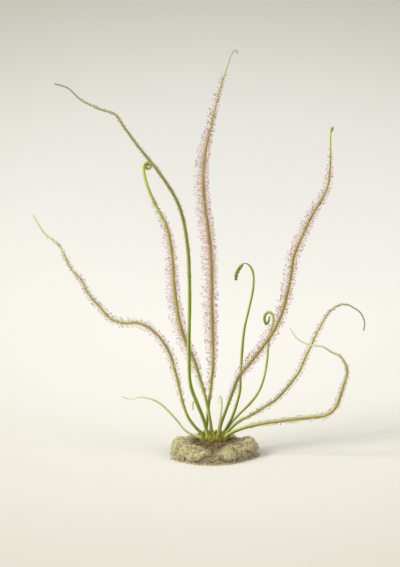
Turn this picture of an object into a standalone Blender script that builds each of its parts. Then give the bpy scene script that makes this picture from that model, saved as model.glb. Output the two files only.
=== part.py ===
"""A thread-leaved sundew lifted with its own clump of mossy peat.

Run it with: blender --background --python part.py

The plant stands on the flat underside of the clump, at z = 0, with the crown's axis on the Z axis.
Sizes are written in millimetres and turned into metres where a mesh is made.
"""

import math
import random
from dataclasses import dataclass

import bpy
import numpy as np

MM = 0.001
CLEARANCE = 0.3  # the gap that is left between two pieces that touch

# The leaves are drawn as seen from the front and a little from above.
VIEW_TILT = math.radians(12)

# The crown: a squat rootstock at soil level that every leaf stands in.
CROWN_RADIUS = 6.7
CROWN_FOOT_RADIUS = 3.0
CROWN_FOOT = 1.8
CROWN_SHOULDER = 6.4
CROWN_TOP = 8.0
CROWN_SIDES = 32
LEAF_FOOT_HEIGHT = 5.2

# The clump of peat that was lifted with the plant.
CLUMP_HALF_WIDTH = 17.0
CLUMP_HALF_DEPTH = 18.4
CLUMP_HEIGHT = 6.9
CLUMP_FLATNESS = 0.64  # below 1 gives the mound a flat top and steep sides
CLUMP_SPOKES = 44
CLUMP_LEVELS = 9
CRUMB_RELIEF = (-0.35, 0.8)

# Moss cushions on the clump's flank, as (degrees round the clump, half their width in degrees).
MOSS_CUSHIONS = {
    "moss_left": (174, 33),
    "moss_front_left": (240, 25),
    "moss_front_right": (300, 24),
    "moss_right": (3, 33),
    "moss_back": (90, 34),
}
MOSS_MIDDLE = 0.68  # share down the flank
MOSS_REACH = 0.25  # up and down the flank from there
MOSS_HOLLOW = 0.4  # the peat under a cushion lies this much lower
MOSS_BORDER = 1.3  # as far out as this many times the cushion's reach
MOSS_THICKNESS = 2.0
MOSS_RIM_THICKNESS = 0.5
MOSS_LUMPINESS = 0.28
MOSS_RAGGEDNESS = 0.12  # of the outline
MOSS_SPOKES = 14
MOSS_RINGS = (0.45, 0.8, 1.0)

# Every thread is a tube with this many sides, whose rings close up where it bends.
SIDES = 6
HAIRY_RING_STEP = 3.05
SMOOTH_RING_STEP = 3.6
BEND_STEP = 4.6  # one radian of bend counts for this much length
SAMPLES_BETWEEN_POINTS = 24
POINTS_PER_TURN = 14  # of a coil
DEPTH_BOW = 1.3  # above 1 sends a leaf upwards first and then towards the front or the back

# A tentacle is a three-sided stalk that widens to a flat-ended gland.
TENTACLE_ROOT_RADIUS = 0.13
TENTACLE_GLAND_RADIUS = 0.2
TENTACLE_TILT = (-0.1, 0.35)  # towards the leaf's tip
LENGTH_VARIATION = 0.18

# The flower buds hang from the inner side of the flower stalk's nodding end.
BUD_COUNT = 8
BUD_LENGTH = 2.0
BUD_RADIUS = 0.5
BUD_SIDES = 6
BUD_START = 0.7  # from the stalk's tip to the first bud
BUD_STRETCH = 7.5  # from there to the last
BUD_SPLAY = 0.45  # the buds swing to both sides by turns
BUD_LEAN = 0.9  # towards the stalk's tip
SMALLEST_BUD = 0.7  # the bud at the tip, as a share of the largest

YOUNG_GREEN = (0.36, 0.42, 0.12)
LEAF_GREEN = (0.22, 0.30, 0.04)
OLIVE_GREEN = (0.30, 0.31, 0.05)
GOLDEN_OLIVE = (0.36, 0.27, 0.05)
PALE_GREEN = (0.45, 0.50, 0.20)
PEAT_BROWN = (0.22, 0.15, 0.08)
MOSS_OLIVE = (0.30, 0.28, 0.12)
CROWN_OLIVE = (0.20, 0.17, 0.04)


@dataclass
class Tentacles:
    """Where a leaf carries tentacles: shares of its length where they start, are longest, and end."""

    start: float
    full: float
    fade: float
    end: float
    length: float
    lean: tuple = (0.0, 0.0)  # how much longer they are on the left and on the right, as shares


@dataclass
class Coil:
    """A crozier: a flat spiral at a leaf's tip, turning clockwise as seen from the front."""

    centre: tuple
    start_radius: float
    end_radius: float
    start_angle: float
    turns: float


@dataclass
class Thread:
    """One leaf or stalk: its foot in the crown, and points (across, up) of its centre line as drawn."""

    name: str
    foot: tuple
    tip_back: float  # how far behind the crown's axis the tip lies
    seen: list
    radii: tuple  # at the foot, in the middle and at the tip
    colour: tuple
    coil: Coil = None
    tentacles: Tentacles = None
    knob: float = 0.0  # the radius of a rolled bud at the tip

    @property
    def foot_point(self):
        return np.array((*self.foot, LEAF_FOOT_HEIGHT))

    @property
    def ring_step(self):
        return HAIRY_RING_STEP if self.tentacles else SMOOTH_RING_STEP


THREADS = [
    Thread(
        "leaf_tallest",
        foot=(-2.5, 3.1),
        tip_back=12.0,
        seen=[
            (-3.1, 8.5), (-2.8, 14.4), (-2.0, 21.6), (-0.9, 31.5), (0.0, 42.3), (-0.1, 53.1),
            (-0.5, 68.0), (-0.6, 81.0), (-1.1, 92.7), (-2.3, 102.6), (-3.8, 113.9), (-4.4, 125.1),
            (-3.6, 135.5), (-1.6, 144.9), (0.9, 155.7), (3.6, 166.0), (7.0, 176.4), (8.4, 180.0),
            (9.4, 181.4), (10.5, 181.3), (10.9, 180.3),
        ],
        radii=(0.75, 0.58, 0.30),
        colour=GOLDEN_OLIVE,
        tentacles=Tentacles(start=0.11, full=0.38, fade=0.72, end=0.97, length=3.7, lean=(0.15, -0.25)),
    ),
    Thread(
        "leaf_over_left",
        foot=(-2.1, -3.4),
        tip_back=-42.0,
        seen=[
            (-2.3, 8.5), (-4.3, 16.2), (-7.4, 23.9), (-10.1, 31.5), (-10.8, 45.5), (-10.6, 74.7),
            (-11.7, 95.9), (-15.5, 112.5), (-24.3, 126.9), (-33.0, 137.7), (-40.0, 147.2),
            (-43.4, 152.1), (-50.8, 154.8), (-59.0, 158.9), (-64.8, 164.0), (-70.2, 165.6),
        ],
        radii=(0.85, 0.72, 0.30),
        colour=LEAF_GREEN,
    ),
    Thread(
        "leaf_coiled_left",
        foot=(-0.2, 0.7),
        tip_back=24.0,
        seen=[
            (-0.5, 8.5), (-1.1, 14.4), (-2.6, 22.5), (-5.4, 32.8), (-9.0, 43.7), (-12.2, 50.9),
            (-14.9, 59.0), (-16.9, 70.7), (-17.8, 79.7), (-18.7, 91.8), (-21.2, 103.5), (-25.3, 111.4),
            (-28.8, 119.0), (-30.8, 125.6),
        ],
        radii=(0.70, 0.56, 0.30),
        colour=OLIVE_GREEN,
        coil=Coil(
            centre=(-29.5, 130.1), start_radius=1.95, end_radius=0.62,
            start_angle=math.radians(190), turns=1.35,
        ),
        tentacles=Tentacles(start=0.16, full=0.40, fade=0.62, end=0.82, length=3.1, lean=(0.15, -0.2)),
    ),
    Thread(
        "leaf_upright_right",
        foot=(1.8, -0.7),
        tip_back=-22.0,
        seen=[
            (2.5, 8.5), (3.6, 14.0), (5.9, 20.3), (8.1, 26.6), (11.5, 35.1), (16.2, 41.0),
            (21.6, 47.9), (27.2, 56.0), (31.3, 65.3), (33.3, 73.4), (34.7, 80.1), (36.2, 89.6),
            (39.6, 97.9), (44.6, 108.5), (48.8, 115.2), (51.3, 121.5), (52.1, 128.7), (52.3, 137.7),
            (52.5, 144.7), (53.1, 146.5),
        ],
        radii=(0.75, 0.64, 0.32),
        colour=GOLDEN_OLIVE,
        tentacles=Tentacles(start=0.12, full=0.32, fade=0.62, end=0.94, length=2.7, lean=(0.15, -0.15)),
        knob=0.7,
    ),
    Thread(
        "leaf_wavy_left",
        foot=(-4.5, 0.4),
        tip_back=30.0,
        seen=[
            (-5.0, 9.4), (-7.8, 12.4), (-11.0, 16.7), (-13.0, 21.6), (-14.6, 27.6), (-15.8, 33.3),
            (-17.4, 38.9), (-19.0, 44.5), (-22.2, 50.5), (-25.5, 54.5), (-29.5, 57.7), (-34.3, 59.6),
            (-39.1, 59.4), (-42.8, 59.9), (-46.4, 61.6), (-51.1, 66.8), (-56.5, 73.1), (-59.4, 79.0),
            (-63.3, 82.9), (-65.7, 87.3), (-69.2, 94.1), (-76.0, 99.9), (-78.4, 103.4), (-80.9, 107.8),
        ],
        radii=(0.75, 0.56, 0.30),
        colour=OLIVE_GREEN,
        tentacles=Tentacles(start=0.14, full=0.30, fade=0.42, end=0.94, length=2.1),
    ),
    Thread(
        "leaf_arching_right",
        foot=(5.0, -0.6),
        tip_back=38.0,
        seen=[
            (6.0, 9.6), (8.4, 12.4), (11.7, 15.2), (16.9, 17.9), (22.5, 21.3), (27.7, 24.5),
            (31.1, 27.8), (35.4, 32.9), (38.9, 37.7), (41.0, 42.8), (44.1, 49.3), (46.6, 54.5),
            (49.6, 60.1), (52.7, 64.6), (55.3, 66.7), (60.0, 67.8), (63.4, 66.3), (66.4, 64.2),
            (68.6, 59.6), (68.2, 56.0),
        ],
        radii=(0.75, 0.60, 0.30),
        colour=OLIVE_GREEN,
        tentacles=Tentacles(start=0.12, full=0.28, fade=0.46, end=0.80, length=1.6),
    ),
    Thread(
        "leaf_low_right",
        foot=(3.9, -3.1),
        tip_back=-30.0,
        seen=[
            (5.6, 8.4), (8.5, 10.2), (11.8, 11.6), (17.4, 13.3), (23.8, 14.6), (30.7, 15.5),
            (37.6, 16.4), (44.1, 17.2), (49.6, 17.9), (53.5, 20.0), (55.7, 23.0), (57.4, 28.2),
            (58.7, 32.5), (60.0, 37.4), (59.1, 41.5), (56.5, 44.8), (53.1, 46.5), (48.3, 49.2),
            (44.5, 49.4), (38.4, 51.9), (36.3, 54.0), (34.2, 57.5),
        ],
        radii=(0.85, 0.68, 0.30),
        colour=YOUNG_GREEN,
        tentacles=Tentacles(start=0.12, full=0.26, fade=0.52, end=0.74, length=1.3),
    ),
    Thread(
        "leaf_low_left",
        foot=(-4.2, -2.4),
        tip_back=-24.0,
        seen=[
            (-5.4, 7.6), (-7.9, 8.6), (-10.2, 9.7), (-13.0, 11.7), (-15.8, 15.2), (-19.0, 18.8),
            (-22.6, 22.4), (-26.3, 24.8), (-31.5, 26.2), (-33.9, 26.2), (-36.3, 25.4), (-38.7, 25.8),
            (-41.1, 26.8),
        ],
        radii=(0.70, 0.50, 0.30),
        colour=PALE_GREEN,
    ),
    Thread(
        "stalk_coiled_right",
        foot=(3.2, 3.9),
        tip_back=24.0,
        seen=[
            (4.2, 8.9), (7.5, 13.6), (11.7, 18.3), (16.5, 23.0), (20.4, 28.2), (23.0, 35.1),
            (24.3, 42.4), (24.9, 49.3), (25.6, 54.5), (26.7, 58.3), (27.2, 60.8), (26.7, 63.2),
            (25.1, 64.3), (23.5, 63.0), (23.2, 60.8), (24.1, 58.9), (25.2, 60.4), (25.4, 62.1),
        ],
        radii=(0.70, 0.52, 0.30),
        colour=YOUNG_GREEN,
    ),
    Thread(
        "leaf_young_hooked",
        foot=(1.3, -3.3),
        tip_back=-8.0,
        seen=[
            (2.1, 8.5), (2.9, 14.0), (3.7, 19.8), (3.9, 24.2), (3.5, 26.1), (2.8, 26.7), (2.2, 25.8),
            (2.1, 24.7), (2.5, 23.6),
        ],
        radii=(0.62, 0.55, 0.30),
        colour=PALE_GREEN,
    ),
    Thread(
        "leaf_young_behind",
        foot=(-2.1, -1.0),
        tip_back=0.5,
        seen=[
            (-2.2, 8.4), (-3.6, 12.8), (-5.6, 18.5), (-7.2, 23.0), (-8.1, 24.4), (-8.9, 23.9),
            (-9.1, 22.0), (-9.0, 20.5),
        ],
        radii=(0.62, 0.48, 0.30),
        colour=YOUNG_GREEN,
    ),
]

FLOWER_STALK = Thread(
    "flower_stalk",
    foot=(3.5, 1.3),
    tip_back=13.0,
    seen=[
        (4.4, 8.5), (6.3, 12.2), (8.6, 16.9), (10.6, 23.0), (12.0, 28.8), (12.4, 36.5), (13.0, 46.8),
        (14.0, 56.7), (15.8, 64.8), (17.6, 72.9), (18.2, 78.3), (17.9, 82.1), (16.7, 84.8),
        (14.9, 86.2), (12.9, 85.7), (11.4, 83.9), (10.4, 81.5), (10.1, 79.0),
    ],
    radii=(0.75, 0.60, 0.45),
    colour=LEAF_GREEN,
)


def coil_points(coil):
    """A flat spiral whose radius shrinks evenly with the angle."""
    share = np.linspace(0.0, 1.0, round(coil.turns * POINTS_PER_TURN))
    angle = coil.start_angle - share * coil.turns * math.tau
    radius = coil.start_radius + share * (coil.end_radius - coil.start_radius)
    return np.column_stack([radius * np.cos(angle), radius * np.sin(angle)]) + coil.centre


def control_points(thread):
    """The thread's foot, then the points of its centre line, each at its own depth.

    The drawing fixes what is seen, and a point that lies further back is lower by as much as the
    tilted view raises it.
    """
    seen = np.array(thread.seen)
    if thread.coil:
        seen = np.vstack([seen, coil_points(thread.coil)])
    steps = np.linalg.norm(np.diff(seen, axis=0), axis=1)
    share = np.concatenate([[0.0], np.cumsum(steps)]) / steps.sum()
    back = thread.foot[1] + (thread.tip_back - thread.foot[1]) * share**DEPTH_BOW
    height = (seen[:, 1] - back * math.sin(VIEW_TILT)) / math.cos(VIEW_TILT)
    return np.vstack([thread.foot_point, np.column_stack([seen[:, 0], back, height])])


def smooth_curve(points):
    """Points of a cubic curve through the given ones, with slopes from their neighbours on both sides."""
    chord = np.linalg.norm(np.diff(points, axis=0), axis=1)[:, None]
    slopes = np.diff(points, axis=0) / chord
    tangents = np.vstack([slopes[:1], (slopes[1:] + slopes[:-1]) / 2, slopes[-1:]])
    t = np.linspace(0.0, 1.0, SAMPLES_BETWEEN_POINTS, endpoint=False)[None, :, None]
    start, end = points[:-1, None], points[1:, None]
    leave, arrive = (tangents[:-1] * chord)[:, None], (tangents[1:] * chord)[:, None]
    curve = (
        (2 * t**3 - 3 * t**2 + 1) * start
        + (t**3 - 2 * t**2 + t) * leave
        + (3 * t**2 - 2 * t**3) * end
        + (t**3 - t**2) * arrive
    )
    return np.vstack([curve.reshape(-1, 3), points[-1:]])


def ring_centres(thread):
    """The centres of the thread's rings, closer together where it bends, and their shares of its length."""
    curve = smooth_curve(control_points(thread))
    pieces = np.diff(curve, axis=0)
    lengths = np.linalg.norm(pieces, axis=1)
    headings = pieces / lengths[:, None]
    cosines = np.clip(np.sum(headings[1:] * headings[:-1], axis=1), -1.0, 1.0)
    bends = np.concatenate([[0.0], np.arccos(cosines)])
    weighted = np.concatenate([[0.0], np.cumsum(lengths + BEND_STEP * bends)])
    along = np.concatenate([[0.0], np.cumsum(lengths)])
    stops = np.linspace(0.0, weighted[-1], round(weighted[-1] / thread.ring_step) + 1)
    centres = np.column_stack([np.interp(stops, weighted, curve[:, axis]) for axis in range(3)])
    return centres, np.interp(stops, weighted, along) / along[-1]


def ring_frames(centres):
    """The heading at each ring, and two directions across it that never twist about the centre line."""
    headings = np.gradient(centres, axis=0)
    headings /= np.linalg.norm(headings, axis=1)[:, None]
    side = np.cross(headings[0], (0.0, 1.0, 0.0))
    firsts = []
    for heading in headings:
        side = side - heading * np.dot(side, heading)
        side = side / np.linalg.norm(side)
        firsts.append(side)
    firsts = np.array(firsts)
    return headings, firsts, np.cross(headings, firsts)


def ring_radii(thread, shares):
    """The thread's radius: evenly down to the middle's, and then ever faster down to the fine tip's."""
    foot, middle, tip = thread.radii
    radii = foot + (middle - foot) * np.minimum(shares / 0.25, 1.0)
    radii += (tip - middle) * np.clip((shares - 0.4) / 0.6, 0.0, 1.0) ** 1.4
    if thread.knob:
        radii[-3:] = np.array((0.75, 1.0, 0.6)) * thread.knob
    return radii


def tentacle_length(tentacles, share, rightward):
    """The length of a tentacle at this share of the leaf, which points rightward by -1 to 1, or zero."""
    rise = (share - tentacles.start) / (tentacles.full - tentacles.start)
    fall = (tentacles.end - share) / (tentacles.end - tentacles.fade)
    swell = min(1.0, rise, fall)
    if swell <= 0:
        return 0.0
    left, right = tentacles.lean
    lean = 1.0 + (left if rightward < 0 else right) * abs(rightward)
    return tentacles.length * (0.35 + 0.65 * math.sin(swell * math.pi / 2)) * lean


def circle(sides):
    """The cosines and sines of evenly spaced angles, as columns that scale two directions."""
    angles = np.arange(sides) * math.tau / sides
    return np.cos(angles)[:, None], np.sin(angles)[:, None]


class Skin:
    """Collects the vertices and triangles of one closed surface."""

    def __init__(self):
        self.points = []
        self.faces = []

    def add(self, points):
        """Adds vertices, and returns their numbers."""
        first = len(self.points)
        self.points.extend(np.reshape(points, (-1, 3)))
        return list(range(first, len(self.points)))

    def panel(self, corners):
        a, b, c, d = corners
        self.faces += [(a, b, c), (a, c, d)]

    def strip(self, lower, upper):
        """Panels between two closed rings."""
        for k in range(len(lower)):
            after = (k + 1) % len(lower)
            self.panel((lower[k], lower[after], upper[after], upper[k]))

    def fan(self, ring, tip):
        """Triangles from a closed ring to one point."""
        self.faces += [(a, ring[(k + 1) % len(ring)], tip) for k, a in enumerate(ring)]

    def tube(self, rings, foot, tip):
        """Closes a row of rings with panels between them and a point at each end."""
        for lower, upper in zip(rings, rings[1:]):
            self.strip(lower, upper)
        self.close_ends(rings, foot, tip)

    def close_ends(self, rings, foot, tip):
        self.fan(rings[0][::-1], self.add(foot)[0])
        self.fan(rings[-1], self.add(tip)[0])

    def tentacle(self, corners, tilt, length):
        """Raises a stalk with a gland from the middle of a panel, and closes the panel round its root."""
        a, b, c, d = corners
        places = np.array([self.points[corner] for corner in corners])
        across = places[1] - places[0]
        across /= np.linalg.norm(across)
        outward = np.cross(across, places[3] - places[0])
        outward /= np.linalg.norm(outward)
        along = np.cross(outward, across)
        angles = np.radians((210, 330, 90))[:, None]
        triangle = np.cos(angles) * across + np.sin(angles) * along
        middle = places.mean(axis=0)
        reach = outward + tilt
        reach *= length / np.linalg.norm(reach)
        root = self.add(middle + TENTACLE_ROOT_RADIUS * triangle)
        gland = self.add(middle + reach + TENTACLE_GLAND_RADIUS * triangle)
        p, q, r = root
        self.faces += [(a, b, q), (a, q, p), (b, c, r), (b, r, q), (c, d, r), (d, a, p), (d, p, r)]
        self.strip(root, gland)
        self.faces.append(tuple(gland))


def thread_skin(thread):
    """The closed surface of a leaf or stalk, with its tentacles in alternate panels."""
    draw = random.Random(thread.name)
    centres, shares = ring_centres(thread)
    headings, firsts, seconds = ring_frames(centres)
    radii = ring_radii(thread, shares)
    cosines, sines = circle(SIDES)
    skin = Skin()
    rings = [
        skin.add(centre + radius * (cosines * first + sines * second))
        for centre, radius, first, second in zip(centres, radii, firsts, seconds)
    ]
    for i in range(len(rings) - 1):
        share = (shares[i] + shares[i + 1]) / 2
        for k in range(SIDES):
            after = (k + 1) % SIDES
            corners = (rings[i][k], rings[i][after], rings[i + 1][after], rings[i + 1][k])
            length = 0.0
            if thread.tentacles and (i + k) % 2 == 0:
                angle = (k + 0.5) * math.tau / SIDES
                rightward = (math.cos(angle) * firsts[i] + math.sin(angle) * seconds[i])[0]
                length = tentacle_length(thread.tentacles, share, rightward)
            if length:
                length *= 1 + draw.uniform(-LENGTH_VARIATION, LENGTH_VARIATION)
                skin.tentacle(corners, draw.uniform(*TENTACLE_TILT) * headings[i], length)
            else:
                skin.panel(corners)
    skin.close_ends(rings, centres[0], centres[-1] + headings[-1] * radii[-1])
    return skin


def paint(name, colour, roughness):
    made = bpy.data.materials.new(name)
    made.use_nodes = True
    shader = made.node_tree.nodes["Principled BSDF"]
    shader.inputs["Base Color"].default_value = (*colour, 1.0)
    shader.inputs["Roughness"].default_value = roughness
    shader.inputs["Metallic"].default_value = 0.0
    return made


def shade(mesh):
    mesh.shade_smooth()
    mesh.set_sharp_from_angle(angle=math.radians(50))


def mesh_object(name, skin, material, parent=None, origin=(0.0, 0.0, 0.0)):
    """A named object with its origin at the given point in millimetres, and its mesh round that."""
    mesh = bpy.data.meshes.new(name)
    local = (np.array(skin.points) - origin) * MM
    mesh.from_pydata(local.tolist(), [], skin.faces)
    mesh.materials.append(material)
    shade(mesh)
    made = bpy.data.objects.new(name, mesh)
    made.location = np.array(origin) * MM
    made.parent = parent
    bpy.context.scene.collection.objects.link(made)
    return made


def apply_boolean(body, others, operation):
    """Joins other objects to the body, or cuts them from it, and removes them."""
    helpers = bpy.data.collections.new(body.name + "_helpers")
    bpy.context.scene.collection.children.link(helpers)
    for other in others:
        bpy.context.scene.collection.objects.unlink(other)
        helpers.objects.link(other)
    modifier = body.modifiers.new(operation.lower(), "BOOLEAN")
    modifier.operation = operation
    modifier.operand_type = "COLLECTION"
    modifier.collection = helpers
    bpy.context.view_layer.update()
    graph = bpy.context.evaluated_depsgraph_get()
    result = bpy.data.meshes.new_from_object(body.evaluated_get(graph))
    body.modifiers.clear()
    body.data = result
    shade(result)
    for other in others:
        bpy.data.objects.remove(other)
    bpy.data.collections.remove(helpers)


def make_thread(thread, plant):
    material = paint(thread.name + "_skin", thread.colour, 0.45)
    return mesh_object(thread.name, thread_skin(thread), material, plant, thread.foot_point)


def bud_skin(root, axis, side, size):
    """A bud: a slim egg along its axis, with its root inside the stalk."""
    cosines, sines = circle(BUD_SIDES)
    around = cosines * side + sines * np.cross(axis, side)
    skin = Skin()
    rings = [
        skin.add(root + axis * BUD_LENGTH * size * height + around * BUD_RADIUS * size * width)
        for height, width in ((0.0, 0.5), (0.5, 1.0), (0.82, 0.7))
    ]
    skin.tube(rings, root, root + axis * BUD_LENGTH * size)
    return skin


def make_flower_stalk(plant):
    """The smooth flower stalk, whose nodding end carries a comb of buds that shrink towards its tip."""
    stalk = make_thread(FLOWER_STALK, plant)
    curve = smooth_curve(control_points(FLOWER_STALK))
    lengths = np.linalg.norm(np.diff(curve, axis=0), axis=1)
    from_tip = np.cumsum(lengths[::-1])[::-1]
    depth_axis = np.array((0.0, 1.0, 0.0))
    buds = []
    for number in range(BUD_COUNT):
        share = number / (BUD_COUNT - 1)
        at = int(np.argmin(np.abs(from_tip - BUD_START - BUD_STRETCH * share)))
        heading = (curve[at + 1] - curve[at]) / lengths[at]
        splay = BUD_SPLAY if number % 2 else -BUD_SPLAY
        axis = np.cross(heading, depth_axis) + splay * depth_axis + BUD_LEAN * heading
        axis /= np.linalg.norm(axis)
        side = np.cross(axis, heading)
        side /= np.linalg.norm(side)
        skin = bud_skin(curve[at], axis, side, SMALLEST_BUD + (1 - SMALLEST_BUD) * share)
        buds.append(mesh_object(f"bud_{number}", skin, stalk.data.materials[0]))
    apply_boolean(stalk, buds, "UNION")


def hole_cutter(thread, material):
    """The leaf's own foot, wider and deeper by the clearance, as far as just above the crown."""
    centres, _ = ring_centres(thread)
    headings, firsts, seconds = ring_frames(centres)
    reach = int(np.argmax(centres[:, 2] > CROWN_TOP + 1.0)) + 1
    path = np.vstack([centres[0] - headings[0] * CLEARANCE, centres[1:reach]])
    cosines, sines = circle(SIDES)
    radius = thread.radii[0] + CLEARANCE
    skin = Skin()
    rings = [
        skin.add(centre + radius * (cosines * first + sines * second))
        for centre, first, second in zip(path, firsts, seconds)
    ]
    skin.tube(rings, path[0], path[-1])
    return mesh_object(thread.name + "_hole", skin, material)


def make_crown(plant):
    """A squat turned rootstock with a plain hole for each leaf's foot."""
    profile = [
        (CROWN_FOOT_RADIUS, CROWN_FOOT),
        (CROWN_RADIUS * 0.86, CROWN_FOOT + 1.6),
        (CROWN_RADIUS, CROWN_SHOULDER - 1.2),
        (CROWN_RADIUS * 0.97, CROWN_SHOULDER),
        (CROWN_RADIUS * 0.80, CROWN_TOP - 0.65),
        (CROWN_RADIUS * 0.45, CROWN_TOP - 0.12),
    ]
    skin = Skin()
    rings = [skin.add(level_ring(radius, height, CROWN_SIDES)) for radius, height in profile]
    skin.tube(rings, (0.0, 0.0, CROWN_FOOT), (0.0, 0.0, CROWN_TOP))
    material = paint("crown_skin", CROWN_OLIVE, 0.7)
    crown = mesh_object("crown", skin, material, plant)
    holes = [hole_cutter(thread, material) for thread in THREADS + [FLOWER_STALK]]
    apply_boolean(crown, holes, "DIFFERENCE")


def level_ring(radius, height, sides):
    cosines, sines = circle(sides)
    return np.hstack([radius * cosines, radius * sines, np.full((sides, 1), height)])


def clump_radius(angle):
    """The clump's outline from above: an ellipse with a few slow waves."""
    ellipse = 1 / math.hypot(math.cos(angle) / CLUMP_HALF_WIDTH, math.sin(angle) / CLUMP_HALF_DEPTH)
    waves = 0.045 * math.sin(3 * angle + 1.0) + 0.035 * math.sin(5 * angle + 2.1)
    return ellipse * (1 + waves + 0.02 * math.sin(9 * angle))


def clump_point(angle, share, out=0.0):
    """A point on the mound's flank, from the crown's hole (share 0) down to the rim (share 1).

    The flank is a quarter circle that is stretched to the outline and flattened on top.
    """
    turn = share * math.pi / 2
    hole = CROWN_RADIUS + CLEARANCE
    radius = hole + (clump_radius(angle) - hole) * math.sin(turn) + out * math.sin(turn)
    height = CLUMP_HEIGHT * math.cos(turn) ** CLUMP_FLATNESS + out * math.cos(turn)
    return np.array((radius * math.cos(angle), radius * math.sin(angle), height))


def under_moss(angle, share):
    """Whether a moss cushion lies on this point of the flank."""
    for degrees, half_width in MOSS_CUSHIONS.values():
        turn = math.remainder(angle - math.radians(degrees), math.tau)
        if math.hypot(turn / math.radians(half_width), (share - MOSS_MIDDLE) / MOSS_REACH) < MOSS_BORDER:
            return True
    return False


def make_clump(plant):
    """The peat mound: a shallow hollow under each moss cushion, crumbs elsewhere, and the crown's hole."""
    draw = random.Random("peat crumbs")
    skin = Skin()
    rings = []
    for share in np.linspace(1.0, 0.0, CLUMP_LEVELS):
        ring = []
        for angle in np.arange(CLUMP_SPOKES) * math.tau / CLUMP_SPOKES:
            crumb = draw.uniform(*CRUMB_RELIEF) * math.sin(math.pi * share)
            ring.append(clump_point(angle, share, -MOSS_HOLLOW if under_moss(angle, share) else crumb))
        rings.append(skin.add(ring))
    floor = CROWN_FOOT - CLEARANCE
    rings.append(skin.add(level_ring(CROWN_RADIUS + CLEARANCE, floor, CLUMP_SPOKES)))
    skin.tube(rings, (0.0, 0.0, 0.0), (0.0, 0.0, floor))
    mesh_object("peat_clump", skin, paint("peat", PEAT_BROWN, 0.9), plant)


def make_moss(name, plant):
    """A moss cushion: its underside follows the clump's flank, and its top swells into lumps."""
    draw = random.Random(name)
    degrees, half_width = MOSS_CUSHIONS[name]
    spokes = np.arange(MOSS_SPOKES) * math.tau / MOSS_SPOKES
    edges = [1 + draw.uniform(-MOSS_RAGGEDNESS, MOSS_RAGGEDNESS) for _ in spokes]

    def place(spoke, edge, ring, out):
        angle = math.radians(degrees + half_width * ring * edge * math.cos(spoke))
        share = MOSS_MIDDLE + MOSS_REACH * ring * edge * math.sin(spoke)
        return clump_point(angle, share, CLEARANCE + out)

    def thickness(ring):
        dome = math.sqrt(1 - ring**2) * (1 + draw.uniform(-MOSS_LUMPINESS, MOSS_LUMPINESS))
        return MOSS_RIM_THICKNESS + (MOSS_THICKNESS - MOSS_RIM_THICKNESS) * dome

    skin = Skin()
    under, over = [], []
    for ring in MOSS_RINGS:
        pairs = list(zip(spokes, edges))
        under.append(skin.add([place(spoke, edge, ring, 0.0) for spoke, edge in pairs]))
        over.append(skin.add([place(spoke, edge, ring, thickness(ring)) for spoke, edge in pairs]))
    rings = over + under[::-1]
    skin.tube(rings, place(0.0, 1.0, 0.0, MOSS_THICKNESS), place(0.0, 1.0, 0.0, 0.0))
    mesh_object(name, skin, paint(name + "_leaves", MOSS_OLIVE, 0.95), plant)


def main():
    for old in list(bpy.data.objects):
        bpy.data.objects.remove(old)
    plant = bpy.data.objects.new("sundew", None)
    bpy.context.scene.collection.objects.link(plant)
    make_clump(plant)
    for name in MOSS_CUSHIONS:
        make_moss(name, plant)
    make_crown(plant)
    for thread in THREADS:
        make_thread(thread, plant)
    make_flower_stalk(plant)


main()
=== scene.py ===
# %% [markdown]
# # A thread-leaved sundew in its clump of peat
#
# The part gives every leaf, the crown, the moss cushions and the peat as plain solids. This script keeps
# their places and sizes, and puts a finer piece in the place of each one. Everything is worked out in
# millimetres, and turned into metres where a mesh is made.

import math
from dataclasses import dataclass, field

import bpy
import numpy as np
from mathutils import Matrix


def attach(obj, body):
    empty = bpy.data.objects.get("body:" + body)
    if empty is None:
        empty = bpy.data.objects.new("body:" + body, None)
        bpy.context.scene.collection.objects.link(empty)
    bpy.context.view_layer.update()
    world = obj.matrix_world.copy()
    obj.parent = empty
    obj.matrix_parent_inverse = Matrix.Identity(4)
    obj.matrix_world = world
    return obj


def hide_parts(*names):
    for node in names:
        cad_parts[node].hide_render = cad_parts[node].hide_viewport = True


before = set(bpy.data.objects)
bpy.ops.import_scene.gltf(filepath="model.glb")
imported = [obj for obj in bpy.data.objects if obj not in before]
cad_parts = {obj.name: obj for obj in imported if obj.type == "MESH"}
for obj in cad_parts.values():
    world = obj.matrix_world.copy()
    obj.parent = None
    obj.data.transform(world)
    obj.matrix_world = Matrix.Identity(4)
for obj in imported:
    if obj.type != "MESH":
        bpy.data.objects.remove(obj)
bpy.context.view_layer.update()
MM = 0.001
print("solids in the part:", len(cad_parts))

# %% [markdown]
# ## The camera
#
# The picture looks at the plant from the front and 12 degrees from above, with almost no perspective. A
# camera gets that look by standing far away with a very long lens. The lens length follows from the height
# that the picture has to show at that distance.

# %% Camera
PHOTO_SIZE = (400, 567)
MM_PER_PIXEL = 0.45
VIEW_TILT = math.radians(12)
VIEW_CENTRE = np.array((-5.85, 16.05, 75.49))
CAMERA_DISTANCE = 5000.0
CAMERA_CLIP = 50.0  # in metres, well beyond the floor that it sees
SENSOR_SIZE = 36.0


def add_object(name, data):
    """An object for this mesh, light or camera, linked to the scene."""
    made = bpy.data.objects.new(name, data)
    bpy.context.scene.collection.objects.link(made)
    return made


def add_camera():
    """lens = sensor size · distance / height of the view, as the sensor lies along the long side."""
    data = bpy.data.cameras.new("camera")
    data.sensor_width = SENSOR_SIZE
    data.lens = SENSOR_SIZE * CAMERA_DISTANCE / (PHOTO_SIZE[1] * MM_PER_PIXEL)
    data.clip_end = CAMERA_CLIP
    camera = add_object("camera", data)
    away = np.array((0.0, -math.cos(VIEW_TILT), math.sin(VIEW_TILT)))
    camera.location = (VIEW_CENTRE + CAMERA_DISTANCE * away) * MM
    camera.rotation_euler = (math.pi / 2 - VIEW_TILT, 0.0, 0.0)
    bpy.context.scene.camera = camera
    return data


print("lens:", round(add_camera().lens), "mm")

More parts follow.
